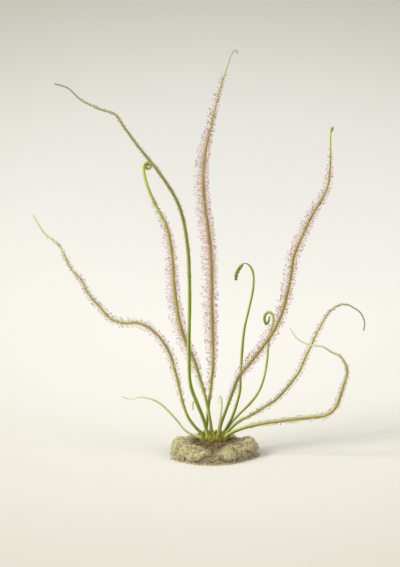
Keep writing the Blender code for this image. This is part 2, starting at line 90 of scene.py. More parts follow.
# %% [markdown]
# ## One kind of surface for everything
#
# A leaf, a tentacle, a dew drop, a crumb of peat and a moss leaflet look different, but each is a closed
# skin round a path: a row of rings with a pole at either end. Blender's own curve bevel could make them,
# but then each of several thousand tentacles would be an object. With numpy, one call makes all the
# tentacles of a leaf as whole arrays, and the mesh is filled in one step.


# %% Closed surfaces
@dataclass
class Surface:
    """Vertices in millimetres, the faces between them, and named numbers for each vertex."""

    points: np.ndarray
    quads: np.ndarray
    triangles: np.ndarray
    marks: dict = field(default_factory=dict)


def ring_faces(rings, sides):
    """Quads between neighbouring rings and a fan on each end.

    Vertex number = ring · sides + side, and the foot pole and the tip pole come after the last ring.
    """
    ring, side = np.meshgrid(np.arange(rings - 1), np.arange(sides), indexing="ij")
    after = (side + 1) % sides
    lower, upper = ring * sides, (ring + 1) * sides
    quads = np.stack([lower + side, lower + after, upper + after, upper + side], axis=-1)
    side, after = side[0], after[0]
    foot, tip, last = rings * sides, rings * sides + 1, (rings - 1) * sides
    fans = [
        np.column_stack([after, side, np.full(sides, foot)]),
        np.column_stack([last + side, last + after, np.full(sides, tip)]),
    ]
    return quads.reshape(-1, 4), np.concatenate(fans)


def closed_surfaces(walls, feet, tips):
    """Many closed skins at once.

    walls is copies × rings × sides × 3, and each copy has its own foot pole and tip pole.
    """
    copies = len(walls)
    rings, sides = walls.shape[1:3]
    points = np.concatenate([walls.reshape(copies, -1, 3), feet[:, None], tips[:, None]], axis=1)
    quads, fans = ring_faces(rings, sides)
    first = np.arange(copies)[:, None, None] * points.shape[1]
    return Surface(points.reshape(-1, 3), (quads + first).reshape(-1, 4), (fans + first).reshape(-1, 3))


print("faces of three rings with four sides:", [len(faces) for faces in ring_faces(3, 4)])

# %% [markdown]
# ## Sweeps
#
# Most of the surfaces are tubes, so one more helper turns paths into rings. At each point of a path it
# needs two directions across. A fixed reference direction gives both through cross products, and as long
# as the path never runs along the reference, the tube has no sudden twist.


# %% Sweeps
def unit(vectors):
    """The same directions, all of length 1."""
    return vectors / np.maximum(np.linalg.norm(vectors, axis=-1, keepdims=True), 1e-9)


def once_round(count):
    """Evenly spaced angles that go round once."""
    return np.arange(count) * math.tau / count


def path_frames(paths, reference):
    """heading = the path's slope; first = heading × reference; second = heading × first."""
    headings = unit(np.gradient(paths, axis=1))
    firsts = unit(np.cross(headings, reference))
    return headings, firsts, np.cross(headings, firsts)


def sweep(paths, radii, reference, sides, width=1.0, roughness=None):
    """Tubes round many paths: point = path + radius · (cos t · first + width · sin t · second).

    paths is copies × points × 3, and its first and last points are the poles. radii has a value for each
    point between them. roughness multiplies the radius of each single vertex.
    """
    _, firsts, seconds = path_frames(paths, reference)
    turn = once_round(sides)
    cosines, sines = np.cos(turn)[:, None], np.sin(turn)[:, None]
    around = cosines * firsts[:, 1:-1, None] + width * sines * seconds[:, 1:-1, None]
    reach = np.broadcast_to(radii[:, :, None], radii.shape + (sides,))
    if roughness is not None:
        reach = reach * roughness
    return closed_surfaces(paths[:, 1:-1, None] + reach[..., None] * around, paths[:, 0], paths[:, -1])


print("angles of a four-sided tube:", np.degrees(once_round(4)))

# %% [markdown]
# ## Marks
#
# A surface also carries marks: numbers for each vertex, such as how far up a tentacle it lies. They go
# into the mesh as attributes, where the materials read them. That keeps colour tied to form, with no
# picture to paint and no seams.


# %% Marks
def spread_mark(values, sides):
    """A mark that is known at every point of every path (poles included), given to each vertex."""
    rings = np.repeat(values[:, 1:-1], sides, axis=1)
    return np.concatenate([rings, values[:, :1], values[:, -1:]], axis=1).ravel()


def mark_copies(surface, name, values):
    """Gives each copy a value of its own, the same on all its vertices."""
    surface.marks[name] = np.repeat(values, len(surface.points) // len(values))


def mark_all(surface, **values):
    """Gives every vertex the same value, for each mark that is named."""
    for name, value in values.items():
        surface.marks[name] = np.full(len(surface.points), value)


def join(surfaces):
    """Several surfaces as one, with the marks that they all have."""
    starts = np.cumsum([0] + [len(s.points) for s in surfaces[:-1]])
    names = set.intersection(*(set(s.marks) for s in surfaces))
    return Surface(
        np.concatenate([s.points for s in surfaces]),
        np.concatenate([s.quads + start for s, start in zip(surfaces, starts)]),
        np.concatenate([s.triangles + start for s, start in zip(surfaces, starts)]),
        {name: np.concatenate([s.marks[name] for s in surfaces]) for name in sorted(names)},
    )


print("a foot, two rings of three and a tip:", spread_mark(np.array([[0.0, 0.4, 0.6, 1.0]]), 3))


# %% From a surface to a piece
def build_mesh(name, surface):
    """Fills a mesh in whole arrays: vertices, the corners of every face, and the marks."""
    mesh = bpy.data.meshes.new(name)
    corners = np.concatenate([surface.quads.ravel(), surface.triangles.ravel()])
    starts = np.concatenate([
        np.arange(len(surface.quads)) * 4,
        surface.quads.size + np.arange(len(surface.triangles)) * 3,
    ])
    mesh.vertices.add(len(surface.points))
    mesh.vertices.foreach_set("co", (surface.points * MM).astype(np.float32).ravel())
    mesh.loops.add(len(corners))
    mesh.loops.foreach_set("vertex_index", corners.astype(np.int32))
    mesh.polygons.add(len(starts))
    mesh.polygons.foreach_set("loop_start", starts.astype(np.int32))
    mesh.update(calc_edges=True)
    for mark, values in surface.marks.items():
        single = values.ndim == 1
        layer = mesh.attributes.new(mark, "FLOAT" if single else "FLOAT_VECTOR", "POINT")
        layer.data.foreach_set("value" if single else "vector", values.astype(np.float32).ravel())
    mesh.shade_smooth()
    return mesh


def add_piece(name, surface, finish, node=None):
    """A piece that rides on the part, and takes the place of a solid if one is named.

    No point of it is left below the ground.
    """
    surface.points[:, 2] = np.maximum(surface.points[:, 2], 0.0)
    mesh = build_mesh(name, surface)
    mesh.materials.append(finish)
    made = add_object(name, mesh)
    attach(made, "root")
    if node:
        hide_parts(node)
    print(f"{name}: {2 * len(surface.quads) + len(surface.triangles)} triangles")


print("one millimetre in Blender's metres:", MM)

# %% [markdown]
# ## The leaves' centre lines
#
# Each leaf is a thread that was read from the picture as points across and up. A picture shows no depth,
# so every leaf leans to the front or the back by its own amount, and a point that lies further back is
# lowered by as much as the view from above raises it. These are the same points as in the part, so the
# finer leaves lie exactly on the plain ones.


# %% What a leaf is
@dataclass
class Hairs:
    """Where a leaf has tentacles: shares of its length where they start, are longest, and end."""

    start: float
    full: float
    fade: float
    end: float
    length: float  # of the longest, in millimetres
    lean: tuple = (0.0, 0.0)  # how much longer on the left and on the right, as shares
    density: float = 9.0  # for each millimetre of leaf
    finish: str = "pink"  # one of the tentacle finishes


@dataclass
class Coil:
    """A crozier at the tip, turning clockwise as seen from the front."""

    centre: tuple
    start_radius: float
    end_radius: float
    start_angle: float
    turns: float


@dataclass
class Leaf:
    """A thread as it was read from the picture, and what grows on it, in millimetres and shares."""

    name: str
    slot: str
    foot: tuple  # across and back, where it leaves the crown
    tip_back: float  # how far back its tip is
    seen: list  # (across, up) as seen in the picture
    radii: tuple  # at the foot, in the middle and at the tip
    coil: Coil = None
    hairs: Hairs = None
    knob: float = 0.0
    golden: tuple = (0.5, 0.2, 0.0)  # the middle, the reach and the strength of the golden stretch
    neck: tuple = None  # where it is drawn in and dry: the middle, the reach, the share lost
    spike: tuple = (1.0, 0.01, 0.0)  # where it is swollen: the middle, the reach, the share gained
    pale_tip: float = 1.0  # how much of the finish's tip colour it takes on
    deep_foot: float = 0.0  # how much of the deepest green its lower part takes on


print("a leaf has:", ", ".join(Leaf.__dataclass_fields__))

# %% The leaves
LEAVES = [
    Leaf(
        "leaf_tallest", "leaf_golden", foot=(-2.5, 3.1), tip_back=12.0,
        seen=[
            (-3.1, 8.5), (-2.8, 14.4), (-2.0, 21.6), (-0.9, 31.5), (0.0, 42.3), (-0.1, 53.1),
            (-0.5, 68.0), (-0.6, 81.0), (-1.1, 92.7), (-2.3, 102.6), (-3.8, 113.9), (-4.4, 125.1),
            (-3.6, 135.5), (-1.6, 144.9), (0.9, 155.7), (3.6, 166.0), (7.0, 176.4), (8.4, 180.0),
            (9.4, 181.4), (10.5, 181.3), (10.9, 180.3),
        ],
        radii=(0.75, 0.58, 0.30), golden=(0.42, 0.20, 0.55), neck=(1.0, 0.03, 0.2), pale_tip=0.8,
        hairs=Hairs(0.11, 0.38, 0.54, 0.93, 3.9, lean=(0.12, -0.36), density=17.5),
    ),
    Leaf(
        "leaf_over_left", "leaf_green", foot=(-2.1, -3.4), tip_back=-42.0,
        seen=[
            (-2.3, 8.5), (-4.3, 16.2), (-7.4, 23.9), (-10.1, 31.5), (-10.8, 45.5), (-10.6, 74.7),
            (-11.7, 95.9), (-15.5, 112.5), (-24.3, 126.9), (-33.0, 137.7), (-40.0, 147.2),
            (-43.4, 152.1), (-50.8, 154.8), (-59.0, 158.9), (-64.8, 164.0), (-70.2, 165.6),
        ],
        radii=(0.88, 0.82, 0.36), neck=(1.0, 0.07, 0.1), pale_tip=0.8,
        hairs=Hairs(0.35, 0.60, 0.75, 0.93, 0.85, density=4.0, finish="straw"),
    ),
    Leaf(
        "leaf_coiled_left", "leaf_olive", foot=(-0.2, 0.7), tip_back=24.0,
        seen=[
            (-0.5, 8.5), (-1.1, 14.4), (-2.6, 22.5), (-5.4, 32.8), (-9.0, 43.7), (-12.2, 50.9),
            (-14.9, 59.0), (-16.9, 70.7), (-17.8, 79.7), (-18.7, 91.8), (-21.2, 103.5), (-25.3, 111.4),
            (-28.8, 119.0), (-30.8, 125.6),
        ],
        radii=(0.72, 0.74, 0.56), golden=(0.50, 0.20, 0.3), spike=(0.90, 0.08, 0.25), pale_tip=0.15,
        deep_foot=0.15, coil=Coil((-29.4, 130.0), 1.85, 0.62, math.radians(190), 1.35),
        hairs=Hairs(0.16, 0.38, 0.48, 0.83, 3.3, lean=(0.12, -0.32), density=14.0),
    ),
    Leaf(
        "leaf_upright_right", "leaf_golden", foot=(1.8, -0.7), tip_back=-22.0,
        seen=[
            (2.5, 8.5), (3.6, 14.0), (5.9, 20.3), (8.1, 26.6), (11.5, 35.1), (16.2, 41.0),
            (21.6, 47.9), (27.2, 56.0), (31.3, 65.3), (33.3, 73.4), (34.7, 80.1), (36.2, 89.6),
            (39.6, 97.9), (44.6, 108.5), (48.8, 115.2), (51.3, 121.5), (52.1, 128.7), (52.3, 137.7),
            (52.5, 144.7), (53.1, 146.5),
        ],
        radii=(0.75, 0.64, 0.32), knob=0.8, golden=(0.50, 0.20, 0.25), pale_tip=0.25, deep_foot=0.7,
        hairs=Hairs(0.12, 0.32, 0.62, 0.94, 2.9, lean=(0.12, -0.15), density=14.0),
    ),
    Leaf(
        "leaf_wavy_left", "leaf_olive", foot=(-4.5, 0.4), tip_back=30.0,
        seen=[
            (-5.0, 9.4), (-7.8, 12.4), (-11.0, 16.7), (-13.0, 21.6), (-14.6, 27.6), (-15.8, 33.3),
            (-17.4, 38.9), (-19.0, 44.5), (-22.2, 50.5), (-25.5, 54.5), (-29.5, 57.7), (-34.3, 59.6),
            (-39.1, 59.4), (-42.8, 59.9), (-46.4, 61.6), (-51.1, 66.8), (-56.5, 73.1), (-59.4, 79.0),
            (-63.3, 82.9), (-65.7, 87.3), (-69.2, 94.1), (-76.0, 99.9), (-78.4, 103.4), (-80.9, 107.8),
        ],
        radii=(0.75, 0.56, 0.30), golden=(0.36, 0.16, 0.3), pale_tip=0.6, deep_foot=0.3,
        hairs=Hairs(0.14, 0.30, 0.42, 0.94, 2.1, density=10.0, finish="blush"),
    ),
    Leaf(
        "leaf_arching_right", "leaf_olive", foot=(5.0, -0.6), tip_back=38.0,
        seen=[
            (6.0, 9.6), (8.4, 12.4), (11.7, 15.2), (16.9, 17.9), (22.5, 21.3), (27.7, 24.5),
            (31.1, 27.8), (35.4, 32.9), (38.9, 37.7), (41.0, 42.8), (44.1, 49.3), (46.6, 54.5),
            (49.6, 60.1), (52.7, 64.6), (55.3, 66.7), (60.0, 67.8), (63.4, 66.3), (66.4, 64.2),
            (68.6, 59.6), (68.2, 56.0),
        ],
        radii=(0.75, 0.60, 0.30), golden=(0.38, 0.14, 0.2), neck=(1.0, 0.22, 0.1), deep_foot=0.15,
        hairs=Hairs(0.12, 0.28, 0.46, 0.84, 1.6, density=7.0, finish="blush"),
    ),
    Leaf(
        "leaf_low_right", "leaf_young", foot=(3.9, -3.1), tip_back=-30.0,
        seen=[
            (5.6, 8.4), (8.5, 10.2), (11.8, 11.6), (17.4, 13.3), (23.8, 14.6), (30.7, 15.5),
            (37.6, 16.4), (44.1, 17.2), (49.6, 17.9), (53.5, 20.0), (55.7, 23.0), (57.4, 28.2),
            (58.7, 32.5), (60.0, 37.4), (59.1, 41.5), (56.5, 44.8), (53.1, 46.5), (48.3, 49.2),
            (44.5, 49.4), (38.4, 51.9), (36.3, 54.0), (34.2, 57.5),
        ],
        radii=(0.85, 0.68, 0.30), golden=(0.45, 0.20, 0.3), deep_foot=0.4,
        hairs=Hairs(0.12, 0.26, 0.52, 0.76, 1.3, density=9.5, finish="straw"),
    ),
    Leaf(
        "leaf_low_left", "leaf_pale", foot=(-4.2, -2.4), tip_back=-24.0,
        seen=[
            (-5.4, 7.6), (-7.9, 8.6), (-10.2, 9.7), (-13.0, 11.7), (-15.8, 15.2), (-19.0, 18.8),
            (-22.6, 22.4), (-26.3, 24.8), (-31.5, 26.2), (-33.9, 26.2), (-36.3, 25.4), (-38.7, 25.8),
            (-41.1, 26.8),
        ],
        radii=(0.70, 0.50, 0.30),
    ),
    Leaf(
        "stalk_coiled_right", "leaf_young", foot=(3.2, 3.9), tip_back=24.0,
        seen=[
            (4.2, 8.9), (7.5, 13.6), (11.7, 18.3), (16.5, 23.0), (20.4, 28.2), (23.0, 35.1),
            (24.3, 42.4), (24.9, 49.3), (25.6, 54.5), (26.7, 58.3), (27.2, 60.8), (26.7, 63.2),
            (25.1, 64.3), (23.5, 63.0), (23.2, 60.8), (24.1, 58.9), (25.2, 60.4), (25.4, 62.1),
        ],
        radii=(0.70, 0.57, 0.42), spike=(0.90, 0.10, 0.45), pale_tip=0.1, deep_foot=0.25,
    ),
    Leaf(
        "leaf_young_hooked", "leaf_pale", foot=(1.3, -3.3), tip_back=-8.0,
        seen=[
            (2.1, 8.5), (2.9, 14.0), (3.7, 19.8), (3.9, 24.2), (3.5, 26.1), (2.8, 26.7), (2.2, 25.8),
            (2.1, 24.7), (2.5, 23.6),
        ],
        radii=(0.62, 0.55, 0.30), golden=(0.35, 0.35, 0.4), pale_tip=0.4, deep_foot=0.8,
    ),
    Leaf(
        "leaf_young_behind", "leaf_young", foot=(-2.1, -1.0), tip_back=0.5,
        seen=[
            (-2.2, 8.4), (-3.6, 12.8), (-5.6, 18.5), (-7.2, 23.0), (-8.1, 24.4), (-8.9, 23.9),
            (-9.1, 22.0), (-9.0, 20.5),
        ],
        radii=(0.62, 0.48, 0.30), pale_tip=0.4,
    ),
    Leaf(
        "flower_stalk", "leaf_green", foot=(3.5, 1.3), tip_back=13.0,
        seen=[
            (4.4, 8.5), (6.3, 12.2), (8.6, 16.9), (10.6, 23.0), (12.0, 28.8), (12.4, 36.5), (13.0, 46.8),
            (14.0, 56.7), (15.8, 64.8), (17.6, 72.9), (18.2, 78.3), (17.9, 82.1), (16.7, 84.8),
            (14.9, 86.2), (12.9, 85.7), (11.4, 83.9), (10.4, 81.5), (10.1, 79.0),
        ],
        radii=(0.78, 0.66, 0.47), neck=(0.895, 0.016, 0.5), spike=(0.965, 0.035, 0.35),
        pale_tip=0.1, deep_foot=0.3,
    ),
]
print("leaves and stalks:", len(LEAVES))

# %% [markdown]
# ## From the points to a smooth line
#
# A cubic curve through the points takes its slope at each point from the neighbours on both sides. Rings
# are then set along it, closer together where it bends, so that the tight croziers stay round and the
# straight stretches stay light.

# %% From the picture's points to points in space
LEAF_FOOT_HEIGHT = 5.2
DEPTH_BOW = 1.3
POINTS_PER_TURN = 14


def coil_points(coil):
    """Centre + radius · (cos, sin) of an angle that runs clockwise, while the radius shrinks evenly."""
    share = np.linspace(0.0, 1.0, round(coil.turns * POINTS_PER_TURN))
    angle = coil.start_angle - share * coil.turns * math.tau
    radius = coil.start_radius + share * (coil.end_radius - coil.start_radius)
    return np.column_stack([radius * np.cos(angle), radius * np.sin(angle)]) + coil.centre


def control_points(leaf):
    """back = foot + (tip − foot) · share^bow; height = (seen − back · sin tilt) / cos tilt."""
    seen = np.array(leaf.seen)
    if leaf.coil:
        seen = np.vstack([seen, coil_points(leaf.coil)])
    steps = np.linalg.norm(np.diff(seen, axis=0), axis=1)
    share = np.concatenate([[0.0], np.cumsum(steps)]) / steps.sum()
    back = leaf.foot[1] + (leaf.tip_back - leaf.foot[1]) * share**DEPTH_BOW
    height = (seen[:, 1] - back * math.sin(VIEW_TILT)) / math.cos(VIEW_TILT)
    return np.vstack([(*leaf.foot, LEAF_FOOT_HEIGHT), np.column_stack([seen[:, 0], back, height])])


print("points that the leaves run through:", sum(len(control_points(leaf)) for leaf in LEAVES))

# %% Centre lines
SAMPLES_BETWEEN_POINTS = 24
RING_STEP = 0.5
BEND_STEP = 3.0  # one radian of bend counts for this much length
DEPTH_AXIS = np.array((0.0, 1.0, 0.0))


def smooth_curve(points):
    """A cubic through the points, whose slope at each is the mean of the slopes on its two sides."""
    chord = np.linalg.norm(np.diff(points, axis=0), axis=1)[:, None]
    slopes = np.diff(points, axis=0) / chord
    tangents = np.vstack([slopes[:1], (slopes[1:] + slopes[:-1]) / 2, slopes[-1:]])
    t = np.linspace(0.0, 1.0, SAMPLES_BETWEEN_POINTS, endpoint=False)[None, :, None]
    start, end = points[:-1, None], points[1:, None]
    leave, arrive = (tangents[:-1] * chord)[:, None], (tangents[1:] * chord)[:, None]
    curve = (
        (2 * t**3 - 3 * t**2 + 1) * start + (t**3 - 2 * t**2 + t) * leave
        + (3 * t**2 - 2 * t**3) * end + (t**3 - t**2) * arrive
    )
    return np.vstack([curve.reshape(-1, 3), points[-1:]])


def centre_line(leaf):
    """The centres of the rings, and how far along the leaf each lies.

    They are evenly spaced by length + bend step · angle turned.
    """
    curve = smooth_curve(control_points(leaf))
    pieces = np.diff(curve, axis=0)
    lengths = np.linalg.norm(pieces, axis=1)
    headings = pieces / lengths[:, None]
    cosines = np.clip(np.sum(headings[1:] * headings[:-1], axis=1), -1.0, 1.0)
    bends = np.concatenate([[0.0], np.arccos(cosines)])
    weighted = np.concatenate([[0.0], np.cumsum(lengths + BEND_STEP * bends)])
    along = np.concatenate([[0.0], np.cumsum(lengths)])
    stops = np.linspace(0.0, weighted[-1], round(weighted[-1] / RING_STEP) + 1)
    centres = np.column_stack([np.interp(stops, weighted, curve[:, axis]) for axis in range(3)])
    return centres, np.interp(stops, weighted, along)


for leaf in LEAVES:
    print(f"{leaf.name}: {centre_line(leaf)[1][-1]:.0f} mm long")

# %% [markdown]
# ## Shared shader groups
#
# Real plant tissue, peat and moss are never one flat colour. The variation could be built anew in every
# material, but then each change would have to be made many times. So every effect is one small group, and
# each material places it with values of its own. The shaders stay in the materials, because the export
# can't read them inside a group. Object coordinates are in metres, so scales on them are large.


# %% Shader helpers
def plug(tree, socket, value):
    """Links another node's output to the socket, or sets the socket to a plain value."""
    if isinstance(value, bpy.types.NodeSocket):
        tree.links.new(value, socket)
    else:
        socket.default_value = value


def add_node(tree, kind, options=None, **inputs):
    """Adds a node, sets its options, and gives each input a value or another node's output."""
    node = tree.nodes.new("ShaderNode" + kind)
    for option, value in (options or {}).items():
        setattr(node, option, value)
    for name, value in inputs.items():
        plug(tree, node.inputs[name.replace("_", " ")], value)
    return node


def calculate(tree, operation, *values, clamp=False):
    """One step of arithmetic, held between 0 and 1 if clamp is set."""
    node = add_node(tree, "Math", {"operation": operation, "use_clamp": clamp})
    for socket, value in zip(node.inputs, values):
        plug(tree, socket, value)
    return node.outputs[0]


def mix_colours(tree, factor, first, second, share=None):
    """first where the factor is 0, and second where it is 1, or as much of second as the share says."""
    if share is not None:
        factor = calculate(tree, "MULTIPLY", factor, share)
    node = add_node(tree, "Mix", {"data_type": "RGBA"}, Factor=factor)
    colour_inputs = [socket for socket in node.inputs if socket.type == "RGBA"]
    for socket, colour in zip(colour_inputs, (first, second)):
        plug(tree, socket, colour if isinstance(colour, bpy.types.NodeSocket) else (*colour, 1.0))
    return next(socket for socket in node.outputs if socket.type == "RGBA")


def distance_out(tree, place):
    """How far a place is from the origin, in metres."""
    length = add_node(tree, "VectorMath", {"operation": "LENGTH"})
    tree.links.new(place, length.inputs[0])
    return length.outputs["Value"]


def mark(tree, name, output="Fac"):
    """What the mesh says of itself at this point."""
    return add_node(tree, "Attribute", {"attribute_name": name}).outputs[output]


def object_place(tree):
    """The place of a point on its piece, in metres."""
    return add_node(tree, "TexCoord").outputs["Object"]


helpers = (plug, add_node, calculate, mix_colours, distance_out, mark, object_place)
print("shader helpers:", ", ".join(helper.__name__ for helper in helpers))


# %% Groups with named sockets
def new_group(name, inputs, outputs):
    """An empty shader group, with its inputs as (name, kind, default) and its outputs as (name, kind)."""
    group = bpy.data.node_groups.new(name, "ShaderNodeTree")
    for label, kind, default in inputs:
        socket = group.interface.new_socket(label, in_out="INPUT", socket_type="NodeSocket" + kind)
        if default is not None:
            socket.default_value = default
    for label, kind in outputs:
        group.interface.new_socket(label, in_out="OUTPUT", socket_type="NodeSocket" + kind)
    return group, group.nodes.new("NodeGroupInput"), group.nodes.new("NodeGroupOutput")


def use_group(tree, group, **inputs):
    """Places a group in a material with values of its own, and gives back its one output."""
    node = tree.nodes.new("ShaderNodeGroup")
    node.node_tree = group
    for name, value in inputs.items():
        plug(tree, node.inputs[name.replace("_", " ")], value)
    return node.outputs[0]


def noise_mask(group, given, result, **noise_inputs):
    """Mask = 0.5 + contrast · (noise − 0.5), held between 0 and 1."""
    noise = add_node(group, "TexNoise", **noise_inputs)
    centred = calculate(group, "SUBTRACT", noise.outputs["Fac"], 0.5)
    mask = calculate(group, "MULTIPLY_ADD", centred, given.outputs["Contrast"], 0.5, clamp=True)
    group.links.new(mask, result.inputs["Mask"])


print("groups in the file before ours:", len(bpy.data.node_groups))


# %% Soft patches
def make_patches():
    """A mask of soft blots, as many to the metre as the scale says."""
    group, given, result = new_group(
        "soft patches",
        [("Vector", "Vector", None), ("Scale", "Float", 100.0), ("Contrast", "Float", 2.0)],
        [("Mask", "Float")],
    )
    place, scale = given.outputs["Vector"], given.outputs["Scale"]
    noise_mask(group, given, result, Vector=place, Scale=scale, Detail=4.0)
    return group


PATCHES = make_patches()
print(PATCHES.name, "has", len(PATCHES.nodes), "nodes")

# %% Streaks along a leaf
STREAK_STRETCH = (1.9, 1.9, 0.10)  # a streak is some 19 times as long as it is wide


def make_streaks():
    """Noise on the straightened leaf, in millimetres, stretched along its length."""
    group, given, result = new_group(
        "streaks", [("Place", "Vector", None), ("Contrast", "Float", 2.5)], [("Mask", "Float")]
    )
    stretched = add_node(group, "Mapping", Vector=given.outputs["Place"], Scale=STREAK_STRETCH)
    noise_mask(group, given, result, Vector=stretched.outputs["Vector"], Scale=1.0, Detail=3.0)
    return group


STREAKS = make_streaks()
print(STREAKS.name, "has", len(STREAKS.nodes), "nodes")

# %% [markdown]
# ## Painted shade on the ground
#
# Peat is red-brown under the crown and fades to dry olive-tan further out, and painted shade darkens it
# where the leaves stand over it. It could be a texture, but the peat, the moss and the fibres all need the
# same one. So it is a group that measures how far a point lies from a place in front of the crown.

# %% Painted shade on the ground round the crown
SHADE_SHIFT = (0.0, 0.004, 0.0)  # added to every place, so the middle lies 4 mm in front of the axis
SHADE_SHAPE = (1.1, 0.9, 0.8)  # below 1 it reaches further along that axis
SHADE_FALL = 190.0  # how much of the shade is lost for each metre
SHADE_START = 2.95


def make_crown_shade():
    """Painted shade: mask = start − fall · distance from a place just in front of the crown, held between 0
    and 1.
    """
    group, given, result = new_group("painted crown shade", [("Vector", "Vector", None)], [("Mask", "Float")])
    place = given.outputs["Vector"]
    moved = add_node(group, "Mapping", Vector=place, Location=SHADE_SHIFT, Scale=SHADE_SHAPE)
    distance = distance_out(group, moved.outputs["Vector"])
    mask = calculate(group, "MULTIPLY_ADD", distance, -SHADE_FALL, SHADE_START, clamp=True)
    group.links.new(mask, result.inputs["Mask"])
    return group


PAINTED_CROWN_SHADE = make_crown_shade()
full_shade, no_shade = (SHADE_START - 1) / SHADE_FALL / MM, SHADE_START / SHADE_FALL / MM
print(f"the shade is full for {full_shade:.0f} mm, and gone at {no_shade:.0f} mm")


# %% Fine grain
def make_grain():
    """A normal from fine noise, with its scale to the metre and the height of its relief in metres."""
    group, given, result = new_group(
        "fine grain",
        [("Vector", "Vector", None), ("Scale", "Float", 3000.0), ("Height", "Float", 0.00005)],
        [("Normal", "Vector")],
    )
    place, scale = given.outputs["Vector"], given.outputs["Scale"]
    noise = add_node(group, "TexNoise", Vector=place, Scale=scale, Detail=3.0)
    bump = add_node(
        group, "Bump", Strength=0.8, Distance=given.outputs["Height"], Height=noise.outputs["Fac"]
    )
    group.links.new(bump.outputs["Normal"], result.inputs["Normal"])
    return group


GRAIN = make_grain()
print("shader groups:", [group.name for group in (PATCHES, STREAKS, PAINTED_CROWN_SHADE, GRAIN)])


# %% Starting and finishing a material
def new_material(name, **constants):
    """A material, its node tree and its Principled shader, with values that are the same all over."""
    made = bpy.data.materials.new(name)
    made.use_nodes = True
    tree = made.node_tree
    shader = tree.nodes["Principled BSDF"]
    for socket, value in constants.items():
        shader.inputs[socket.replace("_", " ")].default_value = value
    return made, tree, shader


def grainy_finish(tree, shader, colour, place, scale, height):
    """Links the colour and a fine grain to the shader."""
    plug(tree, shader.inputs["Base Color"], colour)
    plug(tree, shader.inputs["Normal"], use_group(tree, GRAIN, Vector=place, Scale=scale, Height=height))


print("materials so far:", len(bpy.data.materials))

# %% [markdown]
# ## The skin of a leaf
#
# A sundew's thread leaf is satin and a little translucent, yellow-green where it is young, olive where it
# is old, and golden-brown where the tentacles stand thickest. The colours could be painted on a picture,
# but a picture is lost when the leaf changes. Here the mesh says how far along the leaf each point lies and
# how golden it is, and nodes turn that into colour, so that streaks follow the leaf round every bend.

# %% Leaf colours
SHEATH_RED = (0.20, 0.09, 0.03)
SHEATH_GREEN = (0.42, 0.45, 0.05)
DEEP_GREEN = (0.075, 0.09, 0.004)
GOLDEN_BROWN = (0.36, 0.255, 0.015)
# painted light: the lighter yellow-green put on the side of each leaf that faces the key light
PAINTED_LIT_GREEN = (0.66, 0.72, 0.20)
GLAND_SPOT = (0.28, 0.08, 0.05)
DRY_GREY = (0.28, 0.25, 0.21)
LEAF_FINISHES = {
    "leaf_golden": {"light": (0.33, 0.35, 0.03), "deep": (0.15, 0.17, 0.008), "tip": (0.43, 0.45, 0.15)},
    "leaf_green": {"light": (0.22, 0.27, 0.018), "deep": (0.10, 0.135, 0.004), "tip": (0.48, 0.50, 0.24)},
    "leaf_olive": {"light": (0.33, 0.36, 0.04), "deep": (0.15, 0.18, 0.01), "tip": (0.56, 0.58, 0.26)},
    "leaf_pale": {"light": (0.64, 0.69, 0.36), "deep": (0.44, 0.48, 0.18), "tip": (0.76, 0.78, 0.64)},
    "leaf_young": {"light": (0.28, 0.33, 0.03), "deep": (0.14, 0.175, 0.008), "tip": (0.70, 0.72, 0.42)},
}
print("leaf finishes:", len(LEAF_FINISHES))

# %% Leaf skins
LEAF_SCATTER = (0.8, 1.0, 0.3)  # how far red, green and blue light travel inside the leaf
RIB_RELIEF = 0.00004
GOLDEN_PATCHES = (0.5, 0.6)  # the golden stretch is 0.6 golden, and up to 0.5 more in patches
PAINTED_LIT_SHARE = 0.8
SPOTS_SHARE = 0.2
GREEN_FADE, GREEN_SHARE = (-0.12, 1.15), 0.6  # the bright sheath fades by 0.12 for each millimetre up
RED_FADE, RED_SHARE = (-0.45, 1.6), 0.75  # and the red foot by 0.45
GLOSS_STREAKS = (0.18, 0.36)  # the roughness is 0.36, and up to 0.18 more in the streaks


